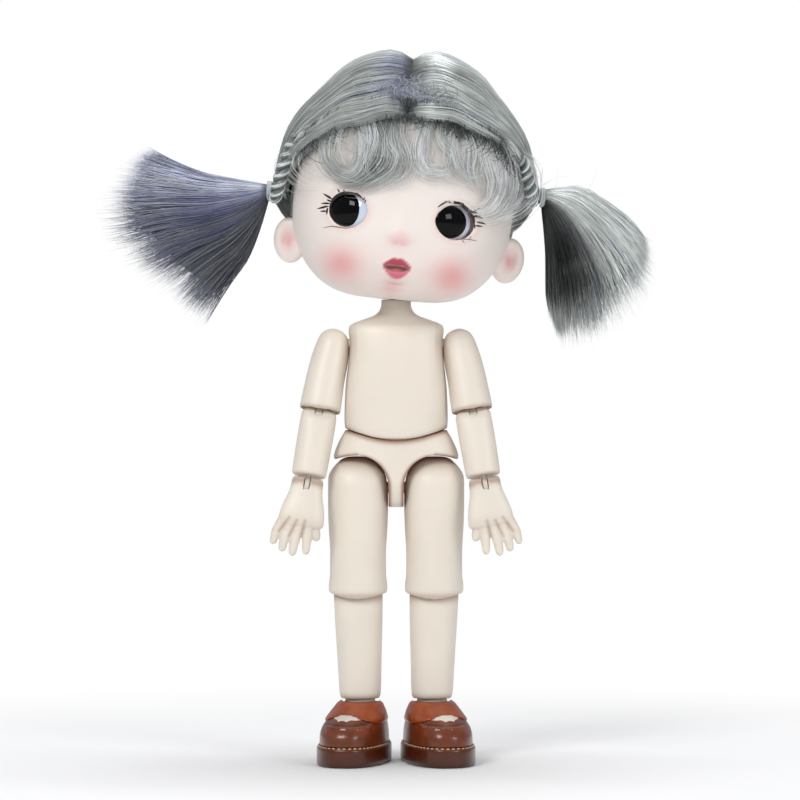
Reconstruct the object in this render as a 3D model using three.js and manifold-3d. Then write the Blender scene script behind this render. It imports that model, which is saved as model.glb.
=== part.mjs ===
// A small standing doll with a ball jointed body: moulded plastic shells and snap connectors,
// an oversized head with inset eyes, a wig with two side tails, and strapped loafers.
// Millimetres, +Z up. The doll faces -Y and its left side is at +X. The floor is z = 0.

import * as THREE from "three";
import { mergeVertices } from "three/addons/utils/BufferGeometryUtils.js";
import Module from "manifold-3d";

const wasm = await Module();
wasm.setup();

const vector = (x, y, z) => new THREE.Vector3(x, y, z);

// Overall fits
const GAP = 0.3; // running gap of a joint
const SEAM = 0.1; // gap along a glued seam
const WELD = 0.0001; // vertices nearer than this are one
const OVERRUN = 2; // how far a cutting solid runs past what it cuts
const SLACK = 4; // degrees that a slot leaves past the end of a joint's travel
const MIDLINE_X = 3.6; // the body's middle plane, because one tail reaches further than the other
const ROUND_SIDES = 12;
const FINGER_SIDES = 8;
const LIMB_SIDES = 16;
const BALL_SIDES = 16;
const DISH_SIDES = 32;
const HEAD_SIDES = 24;

// Torso
const torso = {
  base: 73.4, height: 28.2, halfWidth: 11.95, halfDepth: 7.1, wall: 1.6, squareness: 2.5,
  waistRadius: 20.2,
};
const torsoTop = torso.base + torso.height;
const waistCentre = torso.base + torso.waistRadius;
const neck = { radius: 3.4, rise: 5.2, postRadius: 1.5, flangeRadius: 2.6, flangeThick: 1 };

// Pelvis
const pelvis = {
  base: 65, top: 77.2, halfWidth: 14.9, halfDepth: 7.3, squareness: 2.6,
  webHalfWidth: 1.5, webRadius: 3.8,
  archRadius: 7.5, outerArchRadius: 14.3,
};
const waist = {
  postRadius: 1.8, postTop: 76.6, boreDepth: 3.6, headHalfWidth: 6, headHalfDepth: 2.7,
  headThick: 1.5, lean: 6,
};

// Legs
const hip = { x: 8.8, z: 63.4, eyeRadius: 2.6, eyeWidth: 2.6, postRadius: 1.3, spread: 22 };
const thigh = {
  halfWidth: 6.95, halfDepth: 7, cuffEdge: 39.2, cuffTongue: 1.4, squareness: 2.1,
};
const knee = { z: 40.4, radius: 5, halfWidth: 5.7, edge: 0.9, pinRadius: 0.9, pinGap: 0.15 };
const kneeBack = { y: 0.9, rise: 6.6 };
const shin = { end: 15.1, halfWidth: 5.7, halfDepth: 5.1, inward: 0.5, squareness: 2.2 };
const ankle = {
  x: 8.3, z: 12.1, radius: 2.5, halfWidth: 3.6, edge: 0.7, eyeRadius: 1.5, eyeWidth: 1.5,
  postRadius: 0.9, postLength: 9, flangeRadius: 1.7, flangeThick: 1, down: 20, up: 5,
};
const shoe = {
  turnOut: 10, shift: 1.15, soleHeight: 4.4, halfWidth: 8.1, front: 17.4, back: 11.8, wall: 0.9,
  top: 14.4, heelTop: 12.4, edge: 0.6, strapLow: 11.5, strapHigh: 14.3, strapThick: 0.6,
  slitHalfWidth: 3.3, slitHeight: 1.3, slitZ: 11, squareness: 2.4,
};

// Arms
const shoulder = {
  x: 15, z: torsoTop - 5.1, radius: 3.6, depthRadius: 3.85, eyeRadius: 1.9, eyeWidth: 1.9,
  postRadius: 1.3, postLength: 6.8, flangeRadius: 2.3, flangeThick: 0.9, lean: 9.3, raise: 70,
  forward: 12,
};
const upperArm = { length: 15.9, halfWidth: 4.72, halfDepth: 4.35, squareness: 2.1 };
const elbow = {
  radius: 3.5, halfWidth: 4.1, drop: 2.8, roomWide: 3.87, roomNarrow: 2.7, eyeRadius: 3.3,
  eyeWidth: 1.6, postRadius: 0.8, postLength: 8.5, flangeRadius: 1.8, flangeThick: 1, bend: 65,
};
const forearm = { length: 12.7, halfWidth: 4.2, halfDepth: 3.6, squareness: 2.1 };
const wrist = {
  radius: 2.2, halfWidth: 3.3, edge: 0.7, eyeRadius: 1.9, eyeWidth: 1, postRadius: 0.65,
  postLength: 7, flangeRadius: 1.5, flangeThick: 0.9, palmBend: 60, backBend: 30,
};
const hand = { length: 15.6, halfThick: 1.9, fingerRadius: 1.05, thumbRadius: 1.1, curl: 1.5 };

// Head
const head = {
  pivotZ: torsoTop + 10.2, roll: 5.5, base: -5, height: 54, halfWidth: 25.5, front: 23.6, back: 24,
  wall: 2, squareness: 2.25, splitY: 2.6, holeRadius: 4.3, holeFlare: 6.2, flareHeight: 1.5,
};
const neckBall = { radius: 4.7, eyeRadius: 2.2, eyeWidth: 2.2, nod: 10 };
const eye = {
  x: 12.3, z: 14.6, openHalfWidth: 4.3, openHalfHeight: 3.9, turn: 28, depth: 3.2,
  halfWidth: 5.6, halfHeight: 4.8, recess: 0.5, irisRadius: 3.5, irisDepth: 1.7, irisProud: 0.45,
  glance: 0.8, surfaceY: -20.9,
};
const nose = { z: 9.2, halfWidth: 2.7, halfHeight: 1.7, proud: 1.1 };
const lips = { z: 2.7, halfWidth: 3, halfHeight: 1.15, proud: 0.9, step: 1.2 };
const chin = { z: -1.2, halfWidth: 3.2, halfHeight: 2.2, proud: 0.5 };
const ear = { x: 25.6, y: -0.9, z: 6.4, halfWidth: 3.7, halfDepth: 1.9, halfHeight: 5.2, hollow: 2.1 };

// Hair
const cap = { thick: 0.5, bottom: 4 };
const hair = {
  base: 3, height: head.height - 4.2, halfWidth: head.halfWidth + 4.5, front: head.front + 3.4,
  back: head.back + 3.4, squareness: 2.15,
  partX: -0.9, partHalfWidth: 1.6, partDepth: 2.4, hairlineTop: 39, windowBack: -3,
};
const fringe = { thick: 2.6, halfWidth: 22.4, top: 38.3, inner: 0.7 };
const braid = { radius: 1.7, inward: 3.2, forward: 1, up: 1.5 };
const tie = { ringRadius: 2, radius: 0.85 };
const tieShares = { left: [1.063, 0, 0.723], right: [-1.037, 0, 0.573] }; // of hair.halfWidth
const tail = { length: 36, halfThick: 9 };

// Finishes: colour, roughness and metalness
const finishes = {
  bodyPlastic: { color: "#ddd5c8", roughness: 0.45, metalness: 0 },
  facePlastic: { color: "#e8d9d4", roughness: 0.5, metalness: 0 },
  connectorPlastic: { color: "#d3c8b6", roughness: 0.4, metalness: 0 },
  eyeWhite: { color: "#c9cfe2", roughness: 0.2, metalness: 0 },
  eyeBlack: { color: "#050506", roughness: 0.05, metalness: 0 },
  hairFibre: { color: "#98a29d", roughness: 0.45, metalness: 0 },
  capCloth: { color: "#8d9490", roughness: 0.9, metalness: 0 },
  tieRubber: { color: "#aab4b6", roughness: 0.6, metalness: 0 },
  shoeLeather: { color: "#7a3516", roughness: 0.25, metalness: 0 },
  shoeSole: { color: "#5c2711", roughness: 0.35, metalness: 0 },
  shoeStrap: { color: "#8d3d17", roughness: 0.2, metalness: 0 },
};

const degrees = THREE.MathUtils.degToRad;

// Turns a closed geometry into a solid that can be cut and joined.
function solidOf(geometry) {
  const bare = geometry.clone();
  bare.deleteAttribute("normal");
  bare.deleteAttribute("uv");
  const merged = mergeVertices(bare, WELD);
  const corners = merged.index.array;
  const kept = [];
  for (let i = 0; i < corners.length; i += 3) {
    const [a, b, c] = [corners[i], corners[i + 1], corners[i + 2]];
    if (a !== b && b !== c && c !== a) kept.push(a, b, c);
  }
  return new wasm.Manifold(new wasm.Mesh({
    numProp: 3,
    vertProperties: Float32Array.from(merged.attributes.position.array),
    triVerts: Uint32Array.from(kept),
  }));
}

function geometryOf(solid) {
  const mesh = solid.getMesh();
  const geometry = new THREE.BufferGeometry();
  geometry.setAttribute("position", new THREE.BufferAttribute(mesh.vertProperties, 3));
  geometry.setIndex(new THREE.BufferAttribute(mesh.triVerts, 1));
  return geometry;
}

const join = (first, ...rest) => rest.reduce((all, one) => all.add(one), first);
const cut = (first, ...rest) => rest.reduce((left, one) => left.subtract(one), first);
const meet = (first, ...rest) => rest.reduce((left, one) => left.intersect(one), first);

// The same solid on the other side of the middle plane.
function mirrored(solid) {
  const geometry = geometryOf(solid);
  geometry.scale(-1, 1, 1);
  const corners = geometry.index.array;
  for (let i = 0; i < corners.length; i += 3) {
    [corners[i], corners[i + 1]] = [corners[i + 1], corners[i]];
  }
  return solidOf(geometry);
}

// Skins a row of closed rings, each a list of vectors, and closes both ends.
function loft(rings) {
  const count = rings[0].length;
  const places = rings.flat().flatMap((point) => point.toArray());
  const corners = [];
  for (let i = 0; i + 1 < rings.length; i += 1) {
    for (let j = 0; j < count; j += 1) {
      const [a, b] = [i * count + j, i * count + ((j + 1) % count)];
      corners.push(a, b, b + count, a, b + count, a + count);
    }
  }
  for (const [ring, flip] of [[0, true], [rings.length - 1, false]]) {
    const centre = rings[ring].reduce((sum, point) => sum.add(point), vector(0, 0, 0));
    centre.divideScalar(count);
    const middle = places.length / 3;
    places.push(...centre.toArray());
    for (let j = 0; j < count; j += 1) {
      const [a, b] = [ring * count + j, ring * count + ((j + 1) % count)];
      corners.push(middle, flip ? b : a, flip ? a : b);
    }
  }
  const geometry = new THREE.BufferGeometry();
  geometry.setAttribute("position", new THREE.Float32BufferAttribute(places, 3));
  geometry.setIndex(corners);
  if (volumeOf(geometry) < 0) {
    geometry.setIndex(corners.reverse());
  }
  return geometry;
}

function volumeOf(geometry) {
  const places = geometry.attributes.position;
  const corners = geometry.index.array;
  let sum = 0;
  const [a, b, c] = [vector(0, 0, 0), vector(0, 0, 0), vector(0, 0, 0)];
  for (let i = 0; i < corners.length; i += 3) {
    a.fromBufferAttribute(places, corners[i]);
    b.fromBufferAttribute(places, corners[i + 1]);
    c.fromBufferAttribute(places, corners[i + 2]);
    sum += a.dot(b.cross(c));
  }
  return sum / 6;
}

// A rounded section at one height: an oval whose squareness is 2 for an ellipse, more for a box.
function ovalRing(centre, halfWidth, front, back, squareness, count) {
  const ring = [];
  for (let j = 0; j < count; j += 1) {
    const angle = (2 * Math.PI * j) / count;
    const [c, s] = [Math.cos(angle), Math.sin(angle)];
    const x = halfWidth * Math.sign(c) * Math.abs(c) ** (2 / squareness);
    const y = (s < 0 ? front : back) * Math.sign(s) * Math.abs(s) ** (2 / squareness);
    ring.push(vector(centre.x + x, centre.y + y, centre.z));
  }
  return ring;
}

// A moulded form: each row gives shares of the height, half width, front depth and back depth.
function moulded(shares, size, inset = 0) {
  const count = size.sides ?? LIMB_SIDES;
  const rings = shares.map(([up, wide, front, back = front, across = 0]) => ovalRing(
    vector(across * (size.shift ?? 0), 0, size.base + up * size.height),
    wide * size.halfWidth - inset,
    front * size.front - inset,
    back * size.back - inset,
    size.squareness,
    count,
  ));
  return solidOf(loft(rings));
}

// Solids of revolution and prisms
function rod(radius, from, to, axis = "z", sides = ROUND_SIDES) {
  const geometry = new THREE.CylinderGeometry(radius, radius, to - from, sides);
  geometry.translate(0, (from + to) / 2, 0);
  if (axis === "x") geometry.rotateZ(-Math.PI / 2);
  if (axis === "z") geometry.rotateX(Math.PI / 2);
  return geometry;
}

function block(x0, x1, y0, y1, z0, z1) {
  const geometry = new THREE.BoxGeometry(x1 - x0, y1 - y0, z1 - z0);
  return geometry.translate((x0 + x1) / 2, (y0 + y1) / 2, (z0 + z1) / 2);
}

function ball(radius, sides = BALL_SIDES) {
  return new THREE.SphereGeometry(radius, sides, Math.round(sides * 0.6));
}

function ellipsoid(x, y, z, sides = BALL_SIDES) {
  return ball(1, sides).rotateX(Math.PI / 2).scale(x, y, z);
}

// A knuckle: a drum across the limb with rounded rims.
function knuckle(radius, halfWidth, edge, sides = BALL_SIDES) {
  const rimShares = [[1, 0], [0.25, 0.35], [0, 1]];
  const low = rimShares.map(([inShare, upShare]) => new THREE.Vector2(
    radius - edge * inShare, -halfWidth + edge * upShare,
  ));
  const high = low.map((point) => new THREE.Vector2(point.x, -point.y)).reverse();
  const profile = [
    new THREE.Vector2(0, -halfWidth), ...low, ...high, new THREE.Vector2(0, halfWidth),
  ];
  return new THREE.LatheGeometry(profile, sides).rotateZ(-Math.PI / 2);
}

// A barrel across the limb: shares of its radius and of its half width, out from the middle.
function barrel(shares, radius, halfWidth) {
  const half = shares.map(([around, along]) => new THREE.Vector2(
    around * radius, along * halfWidth,
  ));
  const other = half.map((point) => new THREE.Vector2(point.x, -point.y)).reverse();
  return new THREE.LatheGeometry([...other, ...half], BALL_SIDES).rotateZ(-Math.PI / 2);
}

// Joint connectors: a post with a flange that turns, and an eye that hinges.
// The eye's centre is the origin, its axis is X and the post runs up Z.
function connector(size) {
  const post = rod(size.postRadius, 0, size.postLength);
  const flange = rod(size.flangeRadius, size.postLength, size.postLength + size.flangeThick);
  const eyeDisc = rod(size.eyeRadius, -size.eyeWidth / 2, size.eyeWidth / 2, "x");
  return join(solidOf(eyeDisc), solidOf(post), solidOf(flange));
}

function postBore(size) {
  const top = size.postLength + size.flangeThick;
  const bore = rod(size.postRadius + GAP, 0, size.postLength);
  const chamber = rod(size.flangeRadius + GAP, size.postLength - GAP, top + GAP);
  return join(solidOf(bore), solidOf(chamber));
}

// The slot round an eye, open over the angles that the post sweeps in the Y Z plane.
// Angles are from straight up, positive towards the back.
function eyeSlot(size, from, to) {
  const reach = size.postLength;
  const half = size.postRadius + GAP;
  const points = [new THREE.Vector2(0, 0)];
  const steps = 4;
  for (let i = 0; i <= steps; i += 1) {
    const angle = degrees(from + ((to - from) * i) / steps);
    const along = new THREE.Vector2(Math.sin(angle), Math.cos(angle));
    const aside = new THREE.Vector2(along.y, -along.x).multiplyScalar(half);
    along.multiplyScalar(reach);
    if (i === 0) points.push(aside.clone().negate(), along.clone().sub(aside));
    if (i > 0 && i < steps) points.push(along);
    if (i === steps) points.push(along.clone().add(aside), aside);
  }
  const width = Math.max(size.eyeWidth, 2 * size.postRadius) + 2 * GAP;
  const sweep = new THREE.ExtrudeGeometry(new THREE.Shape(points), {
    depth: width, bevelEnabled: false, curveSegments: 1,
  });
  sweep.translate(0, 0, -width / 2);
  sweep.applyMatrix4(new THREE.Matrix4().makeBasis(
    vector(0, 1, 0), vector(0, 0, 1), vector(1, 0, 0),
  ));
  const eyeRoom = rod(size.eyeRadius + GAP, -width / 2, width / 2, "x");
  return join(solidOf(eyeRoom), solidOf(sweep));
}

// Moves and turns a solid through its geometry.
function placed(solid, { x = 0, y = 0, z = 0, turnX = 0, turnY = 0, turnZ = 0 }) {
  const geometry = geometryOf(solid);
  geometry.rotateX(degrees(turnX));
  geometry.rotateY(degrees(turnY));
  geometry.rotateZ(degrees(turnZ));
  geometry.translate(x, y, z);
  return solidOf(geometry);
}

// A joint's parts laid on their side: the eye's axis along Y, the post towards the body.
function sideways(solid) {
  return placed(placed(solid, { turnZ: 90 }), { turnY: -90 });
}

const doll = new THREE.Group();

// Puts a solid into the scene as a named mesh with its own material.
function add(group, name, solid, finish) {
  const mesh = new THREE.Mesh(geometryOf(solid), new THREE.MeshStandardMaterial(finishes[finish]));
  mesh.name = name;
  group.add(mesh);
}

// Adds a piece and its mirror image as the left and the right one.
function addPair(groups, name, solid, finish) {
  add(groups.left, `left_${name}`, solid, finish);
  add(groups.right, `right_${name}`, mirrored(solid), finish);
}

// Splits a solid into the half in front of a plane and the half behind it.
function halves(solid, y, reach) {
  const front = block(-reach, reach, -reach, y - SEAM / 2, -reach, reach);
  const back = block(-reach, reach, y + SEAM / 2, reach, -reach, reach);
  return [meet(solid, solidOf(front)), meet(solid, solidOf(back))];
}

const dollReach = 3 * torso.height + head.pivotZ;

// The neck's turning post and what it needs in the torso and in the ball
const neckPost = {
  postRadius: neck.postRadius,
  postLength: head.pivotZ - torsoTop + torso.wall + neck.flangeThick,
  flangeRadius: neck.flangeRadius,
  flangeThick: neck.flangeThick,
  eyeRadius: neckBall.eyeRadius,
  eyeWidth: neckBall.eyeWidth,
};

function buildTorso() {
  const outlineShares = [
    [-0.03, 0.95, 0.94], [0.13, 0.985, 0.985], [0.21, 1, 1], [0.43, 0.983, 1],
    [0.71, 0.912, 0.97], [0.85, 0.905, 0.93], [0.94, 0.93, 0.85], [0.98, 0.88, 0.77],
    [1, 0.76, 0.68],
  ];
  const neckShares = [[1.028, 0.6, 0.6], [1.06, 0.4, 0.57], [1.106, 0.31, 0.52]];
  const size = { ...torso, front: torso.halfDepth, back: torso.halfDepth, sides: 22 };
  const rise = 1 + neck.rise / torso.height;
  const neckRow = [neck.radius / torso.halfWidth, neck.radius / torso.halfDepth];
  const outline = moulded([
    ...outlineShares, ...neckShares, [rise - 0.03, ...neckRow], [rise, ...neckRow],
  ], size);
  const dish = ball(torso.waistRadius, DISH_SIDES).translate(0, 0, waistCentre);
  const room = moulded(outlineShares.slice(0, 7), size, torso.wall);
  const roomDish = ball(torso.waistRadius - torso.wall, DISH_SIDES).translate(0, 0, waistCentre);
  const slotX = waist.postRadius + GAP;
  const slotY = slotX + torso.waistRadius * Math.sin(degrees(waist.lean));
  const shell = cut(
    meet(outline, solidOf(dish)),
    meet(room, solidOf(roomDish)),
    solidOf(block(-slotX, slotX, -slotY, slotY, torso.base - OVERRUN, torso.base + 2 * OVERRUN)),
    placed(postBoreDown(neckPost), { z: head.pivotZ }),
    solidOf(rod(shoulder.postRadius + GAP, -shoulder.x, shoulder.x, "x").translate(0, 0, shoulder.z)),
  );
  const [front, back] = halves(shell, 0, dollReach);
  add(doll, "torso_front", front, "bodyPlastic");
  add(doll, "torso_back", back, "bodyPlastic");
}

// The same bore with the post pointing down.
function postBoreDown(size) {
  return placed(postBore(size), { turnX: 180 });
}

// The space over a thigh: a round arch on the inner side that opens wider on the outer side.
function archPrism() {
  const points = [new THREE.Vector2(-pelvis.archRadius, -2 * pelvis.archRadius)];
  const steps = 10;
  for (let i = 0; i <= steps; i += 1) {
    const angle = (Math.PI / 2) * (i / steps);
    points.push(new THREE.Vector2(
      -pelvis.archRadius * Math.cos(angle), pelvis.archRadius * Math.sin(angle),
    ));
  }
  const outerCentre = pelvis.archRadius - pelvis.outerArchRadius;
  for (let i = 1; i <= steps; i += 1) {
    const angle = (Math.PI / 3) * (i / steps);
    points.push(new THREE.Vector2(
      pelvis.outerArchRadius * Math.sin(angle),
      outerCentre + pelvis.outerArchRadius * Math.cos(angle),
    ));
  }
  points.push(new THREE.Vector2(pelvis.outerArchRadius, -2 * pelvis.archRadius));
  const prism = new THREE.ExtrudeGeometry(new THREE.Shape(points), {
    depth: 4 * pelvis.halfDepth, bevelEnabled: false,
  });
  return solidOf(prism.rotateX(Math.PI / 2).translate(0, 2 * pelvis.halfDepth, 0));
}

function buildPelvis() {
  const outlineShares = [
    [-0.1, 0.99, 0.9], [0.3, 1, 0.98], [0.42, 0.985, 1], [0.62, 0.93, 1], [0.83, 0.85, 0.99],
    [1, 0.775, 0.97],
  ];
  const form = moulded(outlineShares, {
    ...pelvis, height: pelvis.top - pelvis.base, front: pelvis.halfDepth, back: pelvis.halfDepth,
    sides: 32,
  });
  const [webX, webY] = [pelvis.webHalfWidth, pelvis.webRadius];
  const web = join(
    solidOf(rod(webY, -webX, webX, "x", 20).translate(0, 0, hip.z)),
    solidOf(block(-webX, webX, -webY, webY, hip.z, torso.base - GAP)),
  );
  const seat = ball(torso.waistRadius + GAP, DISH_SIDES).translate(0, 0, waistCentre);
  const arch = placed(archPrism(), { x: hip.x, z: hip.z });
  const body = join(cut(form, arch, mirrored(arch)), web);
  const postBottom = waist.postTop - torso.wall - waist.boreDepth - pelvis.webHalfWidth;
  const bore = rod(waist.postRadius + GAP, postBottom - GAP, pelvis.top);
  const shell = cut(
    body,
    solidOf(seat),
    solidOf(bore),
    solidOf(rod(hip.postRadius + GAP, -hip.x, hip.x, "x").translate(0, 0, hip.z)),
  );
  const [front, back] = halves(shell, 0, dollReach);
  add(doll, "pelvis_front", front, "bodyPlastic");
  add(doll, "pelvis_back", back, "bodyPlastic");

  // Waist connector: the post turns in the pelvis, the T head slides inside the torso's dish
  const headReach = torso.waistRadius - torso.wall - GAP;
  const headBar = meet(
    solidOf(ball(headReach, DISH_SIDES).translate(0, 0, waistCentre)),
    solidOf(block(
      -waist.headHalfWidth, waist.headHalfWidth, -waist.headHalfDepth, waist.headHalfDepth,
      torso.base, waistCentre - headReach + waist.headThick,
    )),
  );
  const post = rod(waist.postRadius, postBottom, waistCentre - headReach + waist.headThick);
  add(doll, "waist_connector", join(headBar, solidOf(post)), "connectorPlastic");
}

function buildLegs() {
  const legs = { left: doll, right: doll };

  // Hip connector: a short post in the pelvis web, an eye in the thigh
  const hipPost = {
    ...hip, postLength: hip.x - SEAM, flangeRadius: hip.postRadius, flangeThick: SEAM / 2,
  };
  const hipConnector = placed(sideways(connector(hipPost)), { x: hip.x, z: hip.z });
  addPair(legs, "hip_connector", hipConnector, "connectorPlastic");

  // Thigh: a rounded top that turns under the pelvis arch, and a cuff over the knee
  const domeShares = [
    [0, -1], [0.28, -0.985], [0.5, -0.9], [0.73, -0.72], [0.93, -0.42], [1, 0], [0.955, 0.45],
    [0.79, 0.7], [0.605, 0.87], [0.43, 0.97], [0.26, 1], [0, 1],
  ];
  const dome = new THREE.LatheGeometry(domeShares.map(([around, along]) => new THREE.Vector2(
    around * thigh.halfDepth, along * thigh.halfWidth,
  )), 20).rotateZ(-Math.PI / 2);
  const thighShares = [
    [0, 0.955, 0.93], [0.03, 0.97, 0.945], [0.13, 0.955, 0.93], [0.32, 0.93, 0.93],
    [0.62, 0.965, 0.985], [0.9, 1, 1], [1, 1, 1],
  ];
  const low = thigh.cuffEdge - thigh.cuffTongue;
  const column = moulded(thighShares, {
    ...thigh, base: low - hip.z, height: hip.z - low, front: thigh.halfDepth, back: thigh.halfDepth,
  });
  const tongueRadius = (thigh.halfWidth ** 2 + thigh.cuffTongue ** 2) / (2 * thigh.cuffTongue);
  const tongueDrum = rod(tongueRadius, -hip.x, hip.x, "y", 60);
  tongueDrum.translate(0, 0, low - hip.z + tongueRadius);
  const upperRoom = block(-hip.x, hip.x, -hip.x, hip.x, knee.z - hip.z + knee.radius, hip.x);
  const kneeZ = knee.z - hip.z;
  const kneeRoom = knuckle(knee.radius + GAP, knee.halfWidth + GAP, knee.edge);
  const kneeOpen = block(
    -knee.halfWidth - GAP, knee.halfWidth + GAP, -knee.radius - GAP, knee.radius + GAP,
    low - hip.z - OVERRUN, kneeZ,
  );
  const backOpen = block(
    -hip.x, hip.x, kneeBack.y, hip.x, low - hip.z - OVERRUN, kneeZ + kneeBack.rise,
  );
  const thighSolid = cut(
    meet(join(solidOf(dome), column), join(solidOf(tongueDrum), solidOf(upperRoom))),
    solidOf(kneeRoom.translate(0, 0, kneeZ)),
    solidOf(kneeOpen),
    solidOf(backOpen),
    solidOf(rod(knee.pinRadius + knee.pinGap, -hip.x, hip.x, "x").translate(0, 0, kneeZ)),
    sideways(eyeSlot(hipPost, -hip.spread - SLACK, SLACK)),
  );
  addPair(legs, "thigh", placed(thighSolid, { x: hip.x, z: hip.z }), "bodyPlastic");

  // Knee pin
  const pinHalf = thigh.halfWidth * 0.955 - SEAM;
  const pin = rod(knee.pinRadius, -pinHalf, pinHalf, "x").translate(hip.x, 0, knee.z);
  addPair(legs, "knee_pin", solidOf(pin), "connectorPlastic");

  // Shin: a knuckle at the knee and a calf that swells to the back
  const shinShares = [
    [0, 0.72, 0.72, 0.72, 1], [0.03, 0.82, 0.86, 0.86, 1], [0.08, 0.86, 0.9, 0.9, 1],
    [0.3, 0.9, 0.93, 0.98, 0.75], [0.55, 0.95, 0.95, 1.08, 0.4], [0.8, 0.98, 0.96, 1.03, 0.1],
    [1, 0.985, 0.96, 0.96, 0],
  ];
  const shinHeight = knee.z - shin.end;
  const shinColumn = moulded(shinShares, {
    ...shin, base: -shinHeight, height: shinHeight, front: shin.halfDepth, back: shin.halfDepth,
    shift: -shin.inward, sides: 18,
  });
  const ankleX = ankle.x - hip.x;
  const shinSolid = cut(
    join(solidOf(knuckle(knee.radius, knee.halfWidth, knee.edge)), shinColumn),
    solidOf(rod(knee.pinRadius + GAP, -hip.x, hip.x, "x")),
    placed(postBore(ankle), { x: ankleX, z: ankle.z - knee.z }),
  );
  addPair(legs, "shin", placed(shinSolid, { x: hip.x, z: knee.z }), "bodyPlastic");
  const ankleConnector = placed(connector(ankle), { x: ankle.x, z: ankle.z });
  addPair(legs, "ankle_connector", ankleConnector, "connectorPlastic");

  buildFeet();
}

// Outlines of the shoe at rising heights: share of the height, half width, front, back and of
// the shift away from the other shoe.
const shoeShares = [
  [0, 0.92, 0.93, 0.95, 1], [0.2, 0.92, 0.925, 0.95, 1], [0.4, 0.88, 0.86, 0.93, 0.9],
  [0.58, 0.79, 0.72, 0.9, 0.6], [0.74, 0.71, 0.54, 0.87, 0.3], [0.88, 0.64, 0.42, 0.84, 0.1],
  [1, 0.58, 0.33, 0.81, 0],
];

function shoeForm(inset, base = shoe.soleHeight) {
  return moulded(shoeShares, {
    ...shoe, base, height: shoe.top - shoe.soleHeight, sides: 20,
  }, inset);
}

function buildFeet() {
  const feet = {};
  for (const [side, sign] of [["left", 1], ["right", -1]]) {
    feet[side] = new THREE.Group();
    feet[side].position.set(sign * ankle.x, 0, 0);
    feet[side].rotation.z = degrees(sign * shoe.turnOut);
    doll.add(feet[side]);
  }

  // Sole: a shoe outline with a softened lower and upper edge
  const outline = ovalRing(
    vector(shoe.shift, 0, 0), shoe.halfWidth - shoe.edge, shoe.front - shoe.edge, shoe.back - shoe.edge,
    shoe.squareness, 24,
  );
  const soleShape = new THREE.Shape(outline.map((point) => new THREE.Vector2(point.x, point.y)));
  const sole = new THREE.ExtrudeGeometry(soleShape, {
    depth: shoe.soleHeight - 2 * shoe.edge, bevelThickness: shoe.edge, bevelSize: shoe.edge,
    bevelSegments: 2, curveSegments: 1,
  });
  addPair(feet, "shoe_sole", solidOf(sole.translate(0, 0, shoe.edge)), "shoeSole");

  // Upper: one moulded shell, open at the ankle, with a slit over the instep under the strap
  const shell = shoeForm(0, shoe.soleHeight + SEAM);
  const room = shoeForm(shoe.wall, shoe.soleHeight + shoe.wall);
  const heelCut = block(
    -shoe.halfWidth, shoe.halfWidth, -ankle.radius, shoe.back, shoe.heelTop, shoe.top + OVERRUN,
  );
  const slit = rod(1, -shoe.front, -ankle.radius, "y", 20);
  slit.scale(shoe.slitHalfWidth, 1, shoe.slitHeight / 2).translate(0, 0, shoe.slitZ);
  const open = ovalRing(
    vector(0, 0, shoe.heelTop), ankle.halfWidth + GAP, shoe.front * 0.25, shoe.back * 0.75, 2.2, 24,
  );
  const openTop = open.map((point) => vector(point.x, point.y, shoe.top + OVERRUN));
  const mouth = loft([open.map((point) => vector(point.x, point.y, shoe.strapLow)), openTop]);
  const upper = cut(shell, room, solidOf(heelCut), solidOf(slit), solidOf(mouth));
  const bandSlab = block(
    -shoe.halfWidth, shoe.halfWidth, -shoe.front, -ankle.radius, shoe.strapLow, shoe.strapHigh,
  );
  const strapOuter = shoeForm(-shoe.strapThick - SEAM, shoe.soleHeight + SEAM);
  const strap = cut(meet(strapOuter, solidOf(bandSlab)), shoeForm(-SEAM, shoe.soleHeight + SEAM));
  addPair(feet, "shoe_upper", upper, "shoeLeather");
  addPair(feet, "shoe_strap", strap, "shoeStrap");

  // Foot: a block that fills the shoe, and a knuckle for the ankle
  const sock = shoeForm(shoe.wall + GAP, shoe.soleHeight + shoe.wall);
  const sockTop = block(
    -shoe.halfWidth, shoe.halfWidth, -shoe.front, shoe.back, shoe.strapLow, shoe.top + OVERRUN,
  );
  const ankleColumn = rod(1, shoe.soleHeight + shoe.wall + SEAM, ankle.z, "z", 16);
  ankleColumn.scale(ankle.halfWidth, ankle.radius, 1);
  const foot = cut(
    join(
      cut(sock, solidOf(sockTop)),
      solidOf(knuckle(ankle.radius, ankle.halfWidth, ankle.edge, 14).translate(0, 0, ankle.z)),
      solidOf(ankleColumn),
    ),
    placed(eyeSlot(ankle, -ankle.up - SLACK, ankle.down + SLACK), { z: ankle.z }),
  );
  addPair(feet, "foot", foot, "bodyPlastic");
}

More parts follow.
